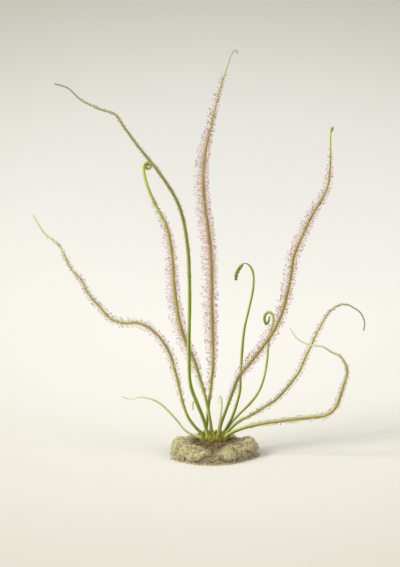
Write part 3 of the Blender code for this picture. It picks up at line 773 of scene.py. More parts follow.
def leaf_skin(name, light, deep, tip):
    """Streaks of light and deep green, then a painted lit side, the golden stretch, the young tip and the
    red foot.
    """
    made, tree, shader = new_material(
        name, Subsurface_Weight=0.15, Subsurface_Scale=0.0006, IOR=1.42, Coat_Weight=0.08
    )
    shader.inputs["Subsurface Radius"].default_value = LEAF_SCATTER
    place = mark(tree, "place", "Vector")
    streaks = use_group(tree, STREAKS, Place=place, Contrast=2.6)
    patches = use_group(tree, PATCHES, Vector=place, Scale=0.35, Contrast=2.0)
    spots = use_group(tree, PATCHES, Vector=place, Scale=2.2, Contrast=7.0)
    along = add_node(tree, "SeparateXYZ", Vector=place).outputs["Z"]
    golden_patches = calculate(tree, "MULTIPLY_ADD", patches, *GOLDEN_PATCHES)
    warmth = calculate(tree, "MULTIPLY", mark(tree, "golden"), golden_patches)
    faint_spots = calculate(tree, "MULTIPLY", spots, SPOTS_SHARE)
    spotted = calculate(tree, "MULTIPLY", mark(tree, "hairy"), faint_spots)
    sheath = calculate(tree, "MULTIPLY_ADD", along, *GREEN_FADE, clamp=True)
    foot = calculate(tree, "MULTIPLY_ADD", along, *RED_FADE, clamp=True)

    colour = mix_colours(tree, streaks, light, deep)
    # painted light: the side of the leaf that faces the key light is coloured lighter
    colour = mix_colours(tree, mark(tree, "sunlit"), colour, PAINTED_LIT_GREEN, PAINTED_LIT_SHARE)
    colour = mix_colours(tree, mark(tree, "deep"), colour, DEEP_GREEN)
    colour = mix_colours(tree, warmth, colour, GOLDEN_BROWN)
    colour = mix_colours(tree, spotted, colour, GLAND_SPOT)
    colour = mix_colours(tree, mark(tree, "young"), colour, tip)
    colour = mix_colours(tree, mark(tree, "dry"), colour, DRY_GREY)
    colour = mix_colours(tree, sheath, colour, SHEATH_GREEN, GREEN_SHARE)
    colour = mix_colours(tree, foot, colour, SHEATH_RED, RED_SHARE)
    plug(tree, shader.inputs["Base Color"], colour)
    plug(tree, shader.inputs["Roughness"], calculate(tree, "MULTIPLY_ADD", streaks, *GLOSS_STREAKS))
    bump = add_node(tree, "Bump", Strength=0.5, Distance=RIB_RELIEF, Height=streaks)
    plug(tree, shader.inputs["Normal"], bump.outputs["Normal"])
    return made


LEAF_SKINS = {slot: leaf_skin(slot + "_skin", **colours) for slot, colours in LEAF_FINISHES.items()}
print("leaf skins:", sorted(LEAF_SKINS))

# %% [markdown]
# ## The leaves
#
# The real leaf is a round thread with faint ribs, thickest at its foot and fine at its tip, and never
# quite even. A swept tube gives all of that with one formula for the radius. The tip ends in a round cap,
# and the leaf with a knob ends in a small rolled bud.

# %% How thick a leaf is
SWELLINGS = ((23.0, 0.035), (9.0, 0.025), (4.1, 0.015))  # (how far apart in mm, how much of the radius)
EVEN_SHARE = 0.25  # it narrows evenly up to here
TAPER_START = 0.4  # and ever faster from here to the tip
TAPER_POWER = 1.4
SHEATH_SWELL = 0.35
SHEATH_REACH = 5.0
KNOB_LENGTH = 0.9


def bell(share, middle, reach, height):
    """height · e^(−((share − middle) / reach)²)"""
    return height * np.exp(-(((share - middle) / reach) ** 2))


def leaf_radii(leaf, along, rng):
    """Evenly down to the middle's radius, then ever faster to the tip's, times slow random waves."""
    foot, middle, tip = leaf.radii
    share = along / along[-1]
    taper = np.clip((share - TAPER_START) / (1 - TAPER_START), 0.0, 1.0) ** TAPER_POWER
    radii = foot + (middle - foot) * np.minimum(share / EVEN_SHARE, 1.0) + (tip - middle) * taper
    waves = [depth * np.sin(math.tau * (along / span + rng.random())) for span, depth in SWELLINGS]
    radii = radii * (1 + sum(waves) + bell(along, 0.0, SHEATH_REACH, SHEATH_SWELL))
    if leaf.knob:
        radii = radii + bell(along[-1] - along, KNOB_LENGTH, KNOB_LENGTH, leaf.knob - tip)
    drawn_in = bell(share, *leaf.neck) if leaf.neck else 0.0
    return radii * (1 - drawn_in + bell(share, *leaf.spike))


def leaf_profile(leaf):
    """The rings' centres, distances along, radii, and the two directions across."""
    rng = np.random.default_rng(len(leaf.seen) * 100 + round(leaf.tip_back))
    centres, along = centre_line(leaf)
    _, firsts, seconds = path_frames(centres[None], DEPTH_AXIS)
    return centres, along, leaf_radii(leaf, along, rng), firsts[0], seconds[0]


print(f"the tallest leaf is {2 * leaf_profile(LEAVES[0])[2].max():.1f} mm thick at its foot")

# %% How a leaf is coloured
DEEP_REACH = 0.5  # how far up a leaf its deep green lower part goes, as a share
YOUNG_RISE = (2.2, -1.2)  # the tip colour starts past the middle, and is full just short of the tip
DRYNESS = 1.0
# painted light: the direction the key light comes from; a leaf's side that faces it is coloured lighter,
# and its poles get half
PAINTED_LIGHT_FROM = np.array((-0.78, -0.15, 0.61))  # the side that the plant grew its light side towards
PAINTED_LIGHT_CONTRAST = (1.5, -0.2)
POLES_PAINTED_LIT = (0.5, 0.5)  # the foot and the tip, which face no one side


def golden_mark(leaf, share):
    """strength · e^(−(|share − middle| / reach)³)"""
    middle, reach, strength = leaf.golden
    return strength * np.exp(-(np.abs(share - middle) / reach) ** 3)


def hair_swell(hairs, share):
    """0 where the tentacles start and end, and 1 between their full length and where they fade."""
    rise = (share - hairs.start) / (hairs.full - hairs.start)
    fall = (hairs.end - share) / (hairs.end - hairs.fade)
    return np.clip(np.minimum(rise, fall), 0.0, 1.0)


def leaf_marks(leaf, share, length):
    """What the skin reads, for points that lie this share of the way up a leaf."""
    nothing = np.zeros(len(share))
    deep = leaf.deep_foot * np.clip(1 - share / DEEP_REACH, 0.0, 1.0)
    slope, start = YOUNG_RISE
    return {
        "golden": golden_mark(leaf, share),
        "deep": deep + leaf.knob * bell(share, 1.0, KNOB_LENGTH / length, 1.0),
        "dry": bell(share, *leaf.neck[:2], DRYNESS) if leaf.neck else nothing,
        "young": leaf.pale_tip * np.clip(slope * share + start, 0.0, 1.0),
        "hairy": hair_swell(leaf.hairs, share) if leaf.hairs else nothing,
    }


print("a leaf's marks:", sorted(leaf_marks(LEAVES[0], np.zeros(1), 1.0)) + ["place", "sunlit"])

# %% Leaf surfaces
LEAF_SIDES = 16
RIB_COUNT = 5
RIB_DEPTH = 0.035
RIB_TWIST = 0.05  # radians for each millimetre
FOOT_CAP = 0.3
CAP_ANGLES = np.radians((30.0, 60.0, 80.0))


def leaf_surface(leaf):
    """A ribbed tube with a round cap: rings of radius · cos a, each further on by radius · sin a."""
    centres, along, radii, _, _ = leaf_profile(leaf)
    length = along[-1]
    ahead = unit(centres[-1] - centres[-2])
    caps = centres[-1] + ahead * radii[-1] * np.sin(CAP_ANGLES)[:, None]
    foot = centres[0] - unit(centres[1] - centres[0]) * radii[0] * FOOT_CAP
    path = np.vstack([foot, centres, caps, centres[-1] + ahead * radii[-1]])[None]
    radii = np.concatenate([radii, radii[-1] * np.cos(CAP_ANGLES)])
    reached = np.concatenate([along, np.full(len(CAP_ANGLES), length)])
    turn = once_round(LEAF_SIDES)
    ribs = 1 + RIB_DEPTH * np.cos(RIB_COUNT * turn + reached[:, None] * RIB_TWIST)
    surface = sweep(path, radii[None], DEPTH_AXIS, LEAF_SIDES, roughness=ribs[None])

    share = spread_mark(np.concatenate([[0.0], reached / length, [1.0]])[None], LEAF_SIDES)
    surface.marks.update(leaf_marks(leaf, share, length))
    outward = unit(surface.points[:-2].reshape(-1, LEAF_SIDES, 3) - path[0, 1:-1, None])
    slope, start = PAINTED_LIGHT_CONTRAST
    # painted light: the vertices of each ring that face the key light's direction get the lighter green
    surface.marks["sunlit"] = np.append(np.clip(slope * outward @ PAINTED_LIGHT_FROM + start, 0.0, 1.0), POLES_PAINTED_LIT)
    across = radii[:, None, None] * np.stack([np.cos(turn), np.sin(turn)], axis=-1)
    lengthways = np.broadcast_to(reached[:, None, None], across.shape[:2] + (1,))
    straight = np.concatenate([across, lengthways], axis=-1).reshape(-1, 3)
    surface.marks["place"] = np.vstack([straight, (0.0, 0.0, 0.0), (0.0, 0.0, length)])
    return surface


for leaf in LEAVES:
    if leaf.name != "flower_stalk":
        add_piece(leaf.name + "_thread", leaf_surface(leaf), LEAF_SKINS[leaf.slot], leaf.name)

# %% [markdown]
# ## The flower stalk
#
# A young sundew flower stalk nods at its tip and carries its buds in one row, all on the inner side of the
# bend, the smallest at the very tip. Each bud is an egg with five ridges, one for each sepal, on a stalk
# so short that it hardly shows. The buds' places are worked out as in the part, and they are finer here.

# %% Where the buds sit
BUD_COUNT = 8
BUD_START = 0.7
BUD_STRETCH = 7.5
BUD_SPLAY = 0.45
BUD_LEAN = 0.9
SMALLEST_BUD = 0.7


def bud_places(leaf):
    """Where each bud sits on the nodding tip, the direction it points in, and its size."""
    curve = smooth_curve(control_points(leaf))
    lengths = np.linalg.norm(np.diff(curve, axis=0), axis=1)
    from_tip = np.cumsum(lengths[::-1])[::-1]
    share = np.arange(BUD_COUNT) / (BUD_COUNT - 1)
    wanted = BUD_START + BUD_STRETCH * share
    at = np.argmin(np.abs(from_tip[None] - wanted[:, None]), axis=1)
    headings = unit(curve[at + 1] - curve[at])
    splay = np.where(np.arange(BUD_COUNT) % 2, BUD_SPLAY, -BUD_SPLAY)[:, None]
    axes = unit(np.cross(headings, DEPTH_AXIS) + splay * DEPTH_AXIS + BUD_LEAN * headings)
    return curve[at], axes, headings, SMALLEST_BUD + (1 - SMALLEST_BUD) * share


flower_stalk = LEAVES[-1]
print("buds from the tip down:", np.round(bud_places(flower_stalk)[3], 2), "of the full size")

# %% Flower buds
BUD_LENGTH = 2.0
BUD_RADIUS = 0.56
BUD_SIDES = 20
BUD_RINGS = 12
SEPALS = 5
SEPAL_RIDGE = 0.10
BUD_NECK = 0.25  # the radius at its foot, as a share
BUD_GOLD = 0.7  # how golden its point is


def bud_surface(leaf):
    """radius = size · sin(π · s^0.75)^0.8 along an egg's axis, times ridges that fade to its point."""
    roots, axes, headings, sizes = bud_places(leaf)
    share = np.linspace(0.0, 1.0, BUD_RINGS + 2)
    paths = roots[:, None] + axes[:, None] * (BUD_LENGTH * sizes[:, None] * share)[..., None]
    egg = np.sin(math.pi * share[1:-1] ** 0.75) ** 0.8
    radii = BUD_RADIUS * sizes[:, None] * np.maximum(egg, BUD_NECK * (1 - share[1:-1]))
    turn = once_round(BUD_SIDES)
    ridges = 1 + SEPAL_RIDGE * np.cos(SEPALS * turn) * np.sin(math.pi * share[1:-1])[:, None]
    reference = unit(np.cross(axes, headings))[:, None]
    surface = sweep(paths, radii, reference, BUD_SIDES, roughness=ridges[None])
    surface.marks["golden"] = spread_mark(np.tile(BUD_GOLD * share**2, (BUD_COUNT, 1)), BUD_SIDES)
    mark_all(surface, hairy=0.0, dry=0.0, young=0.0, sunlit=0.0, deep=0.0)
    surface.marks["place"] = surface.points.copy()
    return surface


add_piece(
    "flower_stalk_thread", join([leaf_surface(flower_stalk), bud_surface(flower_stalk)]),
    LEAF_SKINS["leaf_green"], "flower_stalk",
)

# %% [markdown]
# ## The tentacles
#
# The pink bloom of a sundew is made of tentacles: thin stalks that widen into a red gland, each with a drop
# of clear glue on it. Hair particles would be quick, but they vanish when the model is exported. So every
# tentacle is a real swept tube, with four sides and a few rings, and all those of a leaf are one array.
#
# The stalks are clear enough to glow yellow where they leave the leaf, and turn pink and then mauve up to
# the gland. The mesh says how far up a point lies, and a ramp gives it the colour.

# %% Tentacle colours
TENTACLE_FINISHES = {
    "pink": {
        "root": (0.46, 0.40, 0.04), "stalk": (0.86, 0.57, 0.27), "neck": (0.74, 0.39, 0.41),
        "gland": (0.41, 0.14, 0.29),
    },
    "blush": {
        "root": (0.45, 0.42, 0.045), "stalk": (0.76, 0.62, 0.26), "neck": (0.72, 0.48, 0.34),
        "gland": (0.44, 0.21, 0.20),
    },
    "straw": {
        "root": (0.44, 0.45, 0.05), "stalk": (0.68, 0.68, 0.20), "neck": (0.66, 0.58, 0.22),
        "gland": (0.50, 0.32, 0.13),
    },
}
TENTACLE_PALE = (0.87, 0.67, 0.61)
RAMP_STOPS = (0.10, 0.45, 0.80, 0.92)


def tentacle_skin(name, root, stalk, neck, gland):
    """Colour by how far up a tentacle a point lies, and a little paler on some than on others."""
    made, tree, shader = new_material(
        name, Roughness=0.4, Subsurface_Weight=0.25, Subsurface_Scale=0.0003, Coat_Weight=0.2
    )
    ramp = add_node(tree, "ValToRGB", Fac=mark(tree, "reach"))
    stops = ramp.color_ramp.elements
    for _ in range(len(RAMP_STOPS) - 2):
        stops.new(0.5)
    for stop, position, colour in zip(stops, RAMP_STOPS, (root, stalk, neck, gland)):
        stop.position = position
        stop.color = (*colour, 1.0)
    grain = use_group(tree, PATCHES, Vector=object_place(tree), Scale=2500.0, Contrast=1.5)
    pale = mix_colours(tree, mark(tree, "tint"), ramp.outputs["Color"], TENTACLE_PALE, share=0.45)
    plug(tree, shader.inputs["Base Color"], mix_colours(tree, grain, pale, gland, share=0.2))
    return made


TENTACLE_SKINS = {
    key: tentacle_skin(key + "_tentacles", **colours) for key, colours in TENTACLE_FINISHES.items()
}
print("tentacle skins:", sorted(TENTACLE_SKINS))

# %% [markdown]
# ## How tentacles stand
#
# They stand all round the leaf. Random angles would clump, and even ones would show rows. So each is
# turned on from the last by the golden angle, which leaves neither. In the picture they are longest in
# the middle of the hairy stretch, and thin out towards both of its ends.

# %% Where tentacles stand
GOLDEN_ANGLE = math.pi * (3 - math.sqrt(5))
ANGLE_JITTER = 0.15
ROOT_DEPTH = 0.85  # a root stands at this share of the leaf's radius
GLAND_LENGTH = 0.36
STUB = 0.3  # how much of their full length is left to the outermost ones
LONGEST = 1.03
SHORTENING = 0.82  # how much of its length a tentacle may lack
SHORT_RARITY = 1.7
KEPT_AT_ENDS, KEPT_RISE = 0.2, 1.1  # the share that stays at the ends, and how much more further in
SHORTEST_GLANDS = 1.3  # no tentacle is shorter than this many glands


def tentacle_places(leaf, rng):
    """Roots evenly spread along the hairy stretch, with the directions there and the lengths."""
    hairs = leaf.hairs
    centres, along, radii, firsts, seconds = leaf_profile(leaf)
    total = along[-1]
    span = hairs.end - hairs.start
    count = round(span * total * hairs.density)
    share = hairs.start + span * (np.arange(count) + rng.random(count)) / count
    angle = np.arange(count) * GOLDEN_ANGLE + rng.normal(0.0, ANGLE_JITTER, count)

    def read(values):
        """The values at each root, between those of the two nearest rings."""
        columns = np.atleast_2d(values.T)
        return np.column_stack([np.interp(share * total, along, column) for column in columns])

    first, second = unit(read(firsts)), unit(read(seconds))
    outward = np.cos(angle)[:, None] * first + np.sin(angle)[:, None] * second
    heading = np.cross(first, second)
    roots = read(centres) + ROOT_DEPTH * read(radii) * outward
    left, right = hairs.lean
    lean = 1 + np.where(outward[:, 0] < 0, left, right) * np.abs(outward[:, 0])
    swell = np.sin(hair_swell(hairs, share) * math.pi / 2)
    shortened = LONGEST - SHORTENING * rng.random(count) ** SHORT_RARITY
    length = hairs.length * (STUB + (1 - STUB) * swell) * lean * shortened
    length = np.maximum(length, SHORTEST_GLANDS * GLAND_LENGTH)
    kept = rng.random(count) < KEPT_AT_ENDS + KEPT_RISE * swell
    return roots[kept], outward[kept], heading[kept], length[kept]


print(f"each is turned on by {math.degrees(GOLDEN_ANGLE):.1f} degrees from the last")

# %% Tentacle surfaces
TENTACLE_SIDES = 4
STALK_SHARES = np.array((0.0, 0.0, 0.42, 1.0, 1.0, 1.0, 1.0))
GLAND_SHARES = np.array((0.0, 0.0, 0.0, 0.0, 0.42, 0.85, 1.0))
TENTACLE_RADII = np.array((0.095, 0.052, 0.042, 0.145, 0.11))
TENTACLE_REACH = np.array((0.0, 0.0, 0.42, 0.86, 0.93, 0.98, 1.0))
TILT = (0.26, 0.15)  # towards the leaf's tip, in radians: the mean and the spread
CURL_SIDEWAYS = (0.0, 0.16)
CURL_AHEAD = (0.12, 0.12)
SIZE_SPREAD = 0.10


def tentacle_paths(roots, outward, heading, length, rng):
    """place = root + d · (cos a · outward + sin a · heading) + d² / length · swerve."""
    count = len(roots)
    tilt = rng.normal(*TILT, count)[:, None]
    straight = np.cos(tilt) * outward + np.sin(tilt) * heading
    sideways = np.cross(outward, heading)
    swerve = rng.normal(*CURL_SIDEWAYS, count)[:, None] * sideways
    swerve = swerve + rng.normal(*CURL_AHEAD, count)[:, None] * heading
    distance = STALK_SHARES * (length - GLAND_LENGTH)[:, None] + GLAND_SHARES * GLAND_LENGTH
    curl = distance**2 / length[:, None]
    paths = roots[:, None] + distance[..., None] * straight[:, None] + curl[..., None] * swerve[:, None]
    return paths, sideways


def tentacle_surface(paths, sideways, rng):
    """Four-sided tubes that taper to a neck and swell to a gland."""
    count = len(paths)
    radii = TENTACLE_RADII * rng.normal(1.0, SIZE_SPREAD, count)[:, None]
    surface = sweep(paths, radii, sideways[:, None], TENTACLE_SIDES)
    surface.marks["reach"] = spread_mark(np.tile(TENTACLE_REACH, (count, 1)), TENTACLE_SIDES)
    mark_copies(surface, "tint", rng.random(count))
    return surface


print(f"a gland is {2 * TENTACLE_RADII.max():.2f} mm wide and {GLAND_LENGTH} mm long")

# %% [markdown]
# ## The dew
#
# The drops that give the sundew its name are clear glue, round and a little drawn out along the tentacle.
# A glossy coat on the gland would be cheaper, but it has no outline. So two tentacles in five carry a real
# ball of glass, with eight sides and four rings, which is round enough at half a millimetre across.

# %% Dew
DEW_CLEAR, DEW_BLUSH = (1.0, 0.97, 0.95), (0.98, 0.88, 0.88)


def dew_glass():
    """Clear glue: it bends light a little more than water, with a faint blush from the gland inside."""
    made, tree, shader = new_material("dew", Transmission_Weight=1.0, IOR=1.36, Roughness=0.03)
    colour = mix_colours(tree, mark(tree, "tint"), DEW_CLEAR, DEW_BLUSH)
    plug(tree, shader.inputs["Base Color"], colour)
    return made


DEW = dew_glass()
print("dew bends light by", round(DEW.node_tree.nodes["Principled BSDF"].inputs["IOR"].default_value, 2))

# %% Dew drops
DEW_SHARE = 0.42  # of the tentacles carry a drop
DEW_SIDES = 8
DEW_ANGLES = np.radians((0.0, 36.0, 72.0, 108.0, 144.0, 180.0))
DEW_RADIUS = (0.19, 0.30)
DEW_STRETCH = 1.2


def dew_surface(paths, rng):
    """Balls round the glands, a little longer than wide: axis · cos a, and radius · sin a."""
    wet = rng.random(len(paths)) < DEW_SHARE
    ends, starts = paths[wet, -1], paths[wet, -4]  # the tip and the foot of the gland
    axis = unit(ends - starts)
    radius = rng.uniform(*DEW_RADIUS, wet.sum())[:, None]
    along = (DEW_STRETCH * radius * np.cos(DEW_ANGLES))[..., None]
    drops = (ends + starts)[:, None] / 2 - axis[:, None] * along
    reference = unit(np.cross(axis, axis[:, [1, 2, 0]] + (0.3, 0.1, 0.2)))[:, None]  # any way across
    surface = sweep(drops, radius * np.sin(DEW_ANGLES[1:-1]), reference, DEW_SIDES)
    mark_copies(surface, "tint", rng.random(wet.sum()))
    return surface


for number, leaf in enumerate(LEAVES):
    if leaf.hairs:
        rng = np.random.default_rng(40 + number)
        paths, sideways = tentacle_paths(*tentacle_places(leaf, rng), rng)
        skin = TENTACLE_SKINS[leaf.hairs.finish]
        add_piece(leaf.name + "_tentacles", tentacle_surface(paths, sideways, rng), skin)
        add_piece(leaf.name + "_dew", dew_surface(paths, rng), DEW)

# %% [markdown]
# ## The clump of peat
#
# Peat that a bog plant is lifted with is a crumbly mound: sandy, red-brown near the crown, where painted
# shade darkens it, and covered with loose crumbs, bright sand and dead fibres. The mound is the same
# formula as the part's with far more points, and its crumbs are domes: each point is raised by the tallest
# dome that covers it.

# %% The mound's formula
CROWN_RADIUS = 6.7
CROWN_FOOT = 1.8
CLEARANCE = 0.3
CLUMP_HALF_WIDTH = 17.0
CLUMP_HALF_DEPTH = 18.4
CLUMP_HEIGHT = 6.9
CLUMP_FLATNESS = 0.64
CLUMP_RIPPLES = ((3, 0.045, 1.0), (5, 0.035, 2.1), (9, 0.02, 0.0))  # how many, how deep, the phase


def ripples(angle, rows):
    """For each row, depth · sin(number · angle + phase)."""
    return [depth * np.sin(number * angle + phase) for number, depth, phase in rows]


def clump_radius(angle):
    """An ellipse, times 1 + the sum of its ripples."""
    ellipse = 1 / np.hypot(np.cos(angle) / CLUMP_HALF_WIDTH, np.sin(angle) / CLUMP_HALF_DEPTH)
    return ellipse * (1 + sum(ripples(angle, CLUMP_RIPPLES)))


def clump_point(angle, share, out=0.0):
    """From the crown's hole (share 0) to the rim (share 1): a quarter circle, stretched and flattened."""
    turn = share * math.pi / 2
    hole = CROWN_RADIUS + CLEARANCE
    radius = hole + (clump_radius(angle) - hole) * np.sin(turn) + out * np.sin(turn)
    height = CLUMP_HEIGHT * np.maximum(np.cos(turn), 0.0) ** CLUMP_FLATNESS + out * np.cos(turn)
    return np.stack([radius * np.cos(angle), radius * np.sin(angle), height], axis=-1)


rim = clump_point(once_round(360), np.ones(360))
print("the rim is", np.round(np.ptp(rim, axis=0)[:2], 1), "mm wide and deep")


# %% Relief, and places on it
def domes(points, centres, radii, heights):
    """The height of the tallest dome over each point: height · √(1 − (distance / radius)²)."""
    flat = points.reshape(-1, 1, 3)
    apart = np.linalg.norm(flat - centres[None], axis=-1) / radii
    return (heights * np.sqrt(np.clip(1 - apart**2, 0.0, 1.0))).max(axis=1).reshape(points.shape[:-1])


def scatter(grid, count, rng, chance=None):
    """Random places on a grid of rows × columns that closes round its columns, and the normals there.

    Each cell is chosen as often as its area · chance says.
    """
    low, high = grid[:-1], grid[1:]
    low_next, high_next = np.roll(low, -1, axis=1), np.roll(high, -1, axis=1)
    normals = np.cross(low_next - low, high - low)
    weight = np.linalg.norm(normals, axis=-1) * (1.0 if chance is None else chance[:-1])
    weight = weight.ravel() / weight.sum()
    chosen = rng.choice(weight.size, count, p=weight)
    u, v = rng.random((2, count, 1))

    def pick(values):
        """The values of the chosen cells."""
        return values.reshape(-1, 3)[chosen]

    lower = (1 - u) * pick(low) + u * pick(low_next)
    upper = (1 - u) * pick(high) + u * pick(high_next)
    return (1 - v) * lower + v * upper, unit(pick(normals))


dome_middle = np.zeros((1, 3))
print("a dome 2 mm tall is 2 mm in its middle:", domes(dome_middle, dome_middle, 1.0, 2.0))

# %% The mound
MOUND_SPOKES = 260
MOUND_LEVELS = 70
PEAT_CRUMBS = 420
PEAT_CRUMB_SPREAD = (0.02, 1.0)  # from the crown's hole to the rim
PEAT_CRUMB_RADIUS = (0.7, 2.0)
PEAT_CRUMB_HEIGHT = 0.55  # times its radius
RELIEF_BASE = 0.45  # how far below the plain mound the crumbs start, so that it keeps its size
CALM_RELIEF = 0.25  # how much of the relief is left at the crown and at the rim
MOSS_CUSHIONS = {  # the direction of each one's middle and half its width, in degrees
    "moss_left": (174, 33),
    "moss_front_left": (240, 25),
    "moss_front_right": (300, 24),
    "moss_right": (3, 33),
    "moss_back": (90, 34),
}
MOSS_MIDDLE = 0.68
MOSS_REACH = 0.25
MOSS_THICKNESS = 2.0
MOSS_BED, MOSS_EDGE = -0.4, 0.15  # how deep a cushion's bed is, and the cover where it starts
COVER_RISE = 4  # no peat is bare from a quarter of the way into a cushion


def moss_cover(angle, share):
    """1 in the middle of a moss cushion, 0 from its edge outwards."""
    covers = []
    for degrees, half_width in MOSS_CUSHIONS.values():
        turn = np.remainder(angle - math.radians(degrees) + math.pi, math.tau) - math.pi
        covers.append(1 - np.hypot(turn / math.radians(half_width), (share - MOSS_MIDDLE) / MOSS_REACH))
    return np.clip(np.max(covers, axis=0), 0.0, 1.0)


def mound_grid(rng):
    """The flank raised by crumbs, by less near the crown and the rim and not at all under the moss.

    The second result is 1 where the peat is bare and 0 under the moss.
    """
    share = np.linspace(1.0, 0.0, MOUND_LEVELS)[:, None]
    share, angle = np.broadcast_arrays(share, once_round(MOUND_SPOKES)[None])
    plain = clump_point(angle, share)
    directions = rng.uniform(0, math.tau, PEAT_CRUMBS)
    centres = clump_point(directions, rng.uniform(*PEAT_CRUMB_SPREAD, PEAT_CRUMBS))
    radii = rng.uniform(*PEAT_CRUMB_RADIUS, PEAT_CRUMBS)
    relief = domes(plain, centres, radii, PEAT_CRUMB_HEIGHT * radii) - RELIEF_BASE
    calmed = relief * (CALM_RELIEF + (1 - CALM_RELIEF) * np.sin(math.pi * share))
    cover = moss_cover(angle, share)
    relief = np.where(cover > MOSS_EDGE, MOSS_BED, calmed)
    return clump_point(angle, share, relief), 1 - np.minimum(cover * COVER_RISE, 1.0)


def mound_surface(mound):
    """The flank, then down to the floor of the crown's hole."""
    hole_level = CROWN_FOOT - CLEARANCE
    hole_floor = clump_point(once_round(MOUND_SPOKES), np.zeros(MOUND_SPOKES))
    hole_floor[:, 2] = hole_level
    walls = np.concatenate([mound, hole_floor[None]])
    return closed_surfaces(walls[None], np.array([[0.0, 0.0, 0.0]]), np.array([[0.0, 0.0, hole_level]]))


mound_rng = np.random.default_rng(7)
mound, bare = mound_grid(mound_rng)
print(f"the mound is {mound[..., 2].max():.1f} mm high, and {bare.mean():.0%} bare")

# %% [markdown]
# ## The colours of the peat
#
# The picture's clump is brown under the crown and pale olive-tan towards its rim. A mask of painted shade
# that runs from the crown outwards gives the first, and patches of two sizes break it up, so that no ring
# shows.

# %% Peat and sand
PEAT_FLECK = (0.08, 0.045, 0.018)
# the dark peat of the patches, and also the colour of the painted shade near the crown
PEAT_RED_AND_PAINTED_SHADE = (0.13, 0.075, 0.022)
PEAT_TAN = (0.60, 0.50, 0.30)
SAND_PALE, SAND_DARK, SAND_FLECK = (0.66, 0.58, 0.42), (0.50, 0.40, 0.26), (0.30, 0.22, 0.12)
PALE_START = 0.6  # how pale the ground is where no shade and no patch falls on it
PALE_PATCHES = 0.7
FLECK_SHARE = 0.55
GRAIN_VARIETY = 0.35


def peat_finish(name, pale, dark, fleck, tinted=False):
    """Dark near the crown with painted shade, and pale further out, in patches and flecks. Loose grains
    also differ.
    """
    made, tree, shader = new_material(name, Roughness=0.92, Specular_IOR_Level=0.15)
    place = object_place(tree)
    big = use_group(tree, PATCHES, Vector=place, Scale=260.0, Contrast=3.0)
    small = use_group(tree, PATCHES, Vector=place, Scale=1500.0, Contrast=3.0)
    # painted shade: near the crown the mask pulls the ground towards its dark colour
    outwards = calculate(tree, "SUBTRACT", PALE_START, use_group(tree, PAINTED_CROWN_SHADE, Vector=place))
    paleness = calculate(tree, "MULTIPLY_ADD", big, PALE_PATCHES, outwards, clamp=True)
    colour = mix_colours(tree, paleness, dark, pale)
    colour = mix_colours(tree, small, colour, fleck, FLECK_SHARE)
    if tinted:
        colour = mix_colours(tree, mark(tree, "tint"), colour, pale, GRAIN_VARIETY)
    grainy_finish(tree, shader, colour, place, scale=2600.0, height=0.00018)
    return made


PEAT = peat_finish("peat", PEAT_TAN, PEAT_RED_AND_PAINTED_SHADE, PEAT_FLECK)
CRUMB = peat_finish("peat_crumbs", PEAT_TAN, PEAT_RED_AND_PAINTED_SHADE, PEAT_FLECK, tinted=True)
SAND = peat_finish("sand", SAND_PALE, SAND_DARK, SAND_FLECK, tinted=True)
add_piece("peat_mound", mound_surface(mound), PEAT, "peat_clump")

# %% [markdown]
# ## Loose crumbs and sand
#
# A lifted clump sheds crumbs, and they lie thickest round its foot. Displacement could roughen the mound,
# but it can't leave grains lying loose. So each crumb is a lump of two rings, small ones far more often
# than large ones, scattered over the bare peat and on the ground just outside the rim.

# %% Grains
GRAIN_STEPS = np.array((-1.0, -0.5, 0.5, 1.0))  # the two poles and the two rings, along its axis
GRAIN_TILT = 0.6  # how far its axis strays from the ground's normal
GRAIN_RISE = 0.25  # how far its middle stands above the ground, times its radius
GRAIN_LENGTH = 0.8
GRAIN_GIRTH = 0.85
GRAIN_ROUGHNESS = (0.7, 1.25)


def grain_sizes(smallest, spread, rarity, count, rng):
    """smallest + spread · random^rarity, which makes large ones rare."""
    return smallest + spread * rng.random(count) ** rarity


def grains(places, normals, radii, rng, sides=5):
    """Lumps with two rings each, pressed a little into the ground, with every vertex pulled in or out."""
    count = len(places)
    axis = unit(normals + rng.normal(0.0, GRAIN_TILT, (count, 3)))
    centre = places + normals * (radii * GRAIN_RISE)[:, None]
    along = GRAIN_STEPS * radii[:, None] * GRAIN_LENGTH
    paths = centre[:, None] + axis[:, None] * along[..., None]
    reference = unit(np.cross(axis, axis[:, [2, 0, 1]] + (0.2, 0.3, 0.1)))[:, None]  # any way across
    rough = rng.uniform(*GRAIN_ROUGHNESS, (count, 2, sides))
    girth = np.repeat(radii[:, None] * GRAIN_GIRTH, 2, axis=1)
    surface = sweep(paths, girth, reference, sides, roughness=rough)
    mark_copies(surface, "tint", rng.random(count))
    return surface


def around_foot(count, furthest, rng):
    """Places on the ground just outside the rim, more of them close to it, with normals that point up."""
    directions = rng.uniform(0, math.tau, count)
    places = clump_point(directions, np.ones(count), furthest * rng.random(count) ** 2)
    return places, np.tile((0.0, 0.0, 1.0), (count, 1))


print("a grain's faces:", [len(faces) for faces in ring_faces(2, 5)])

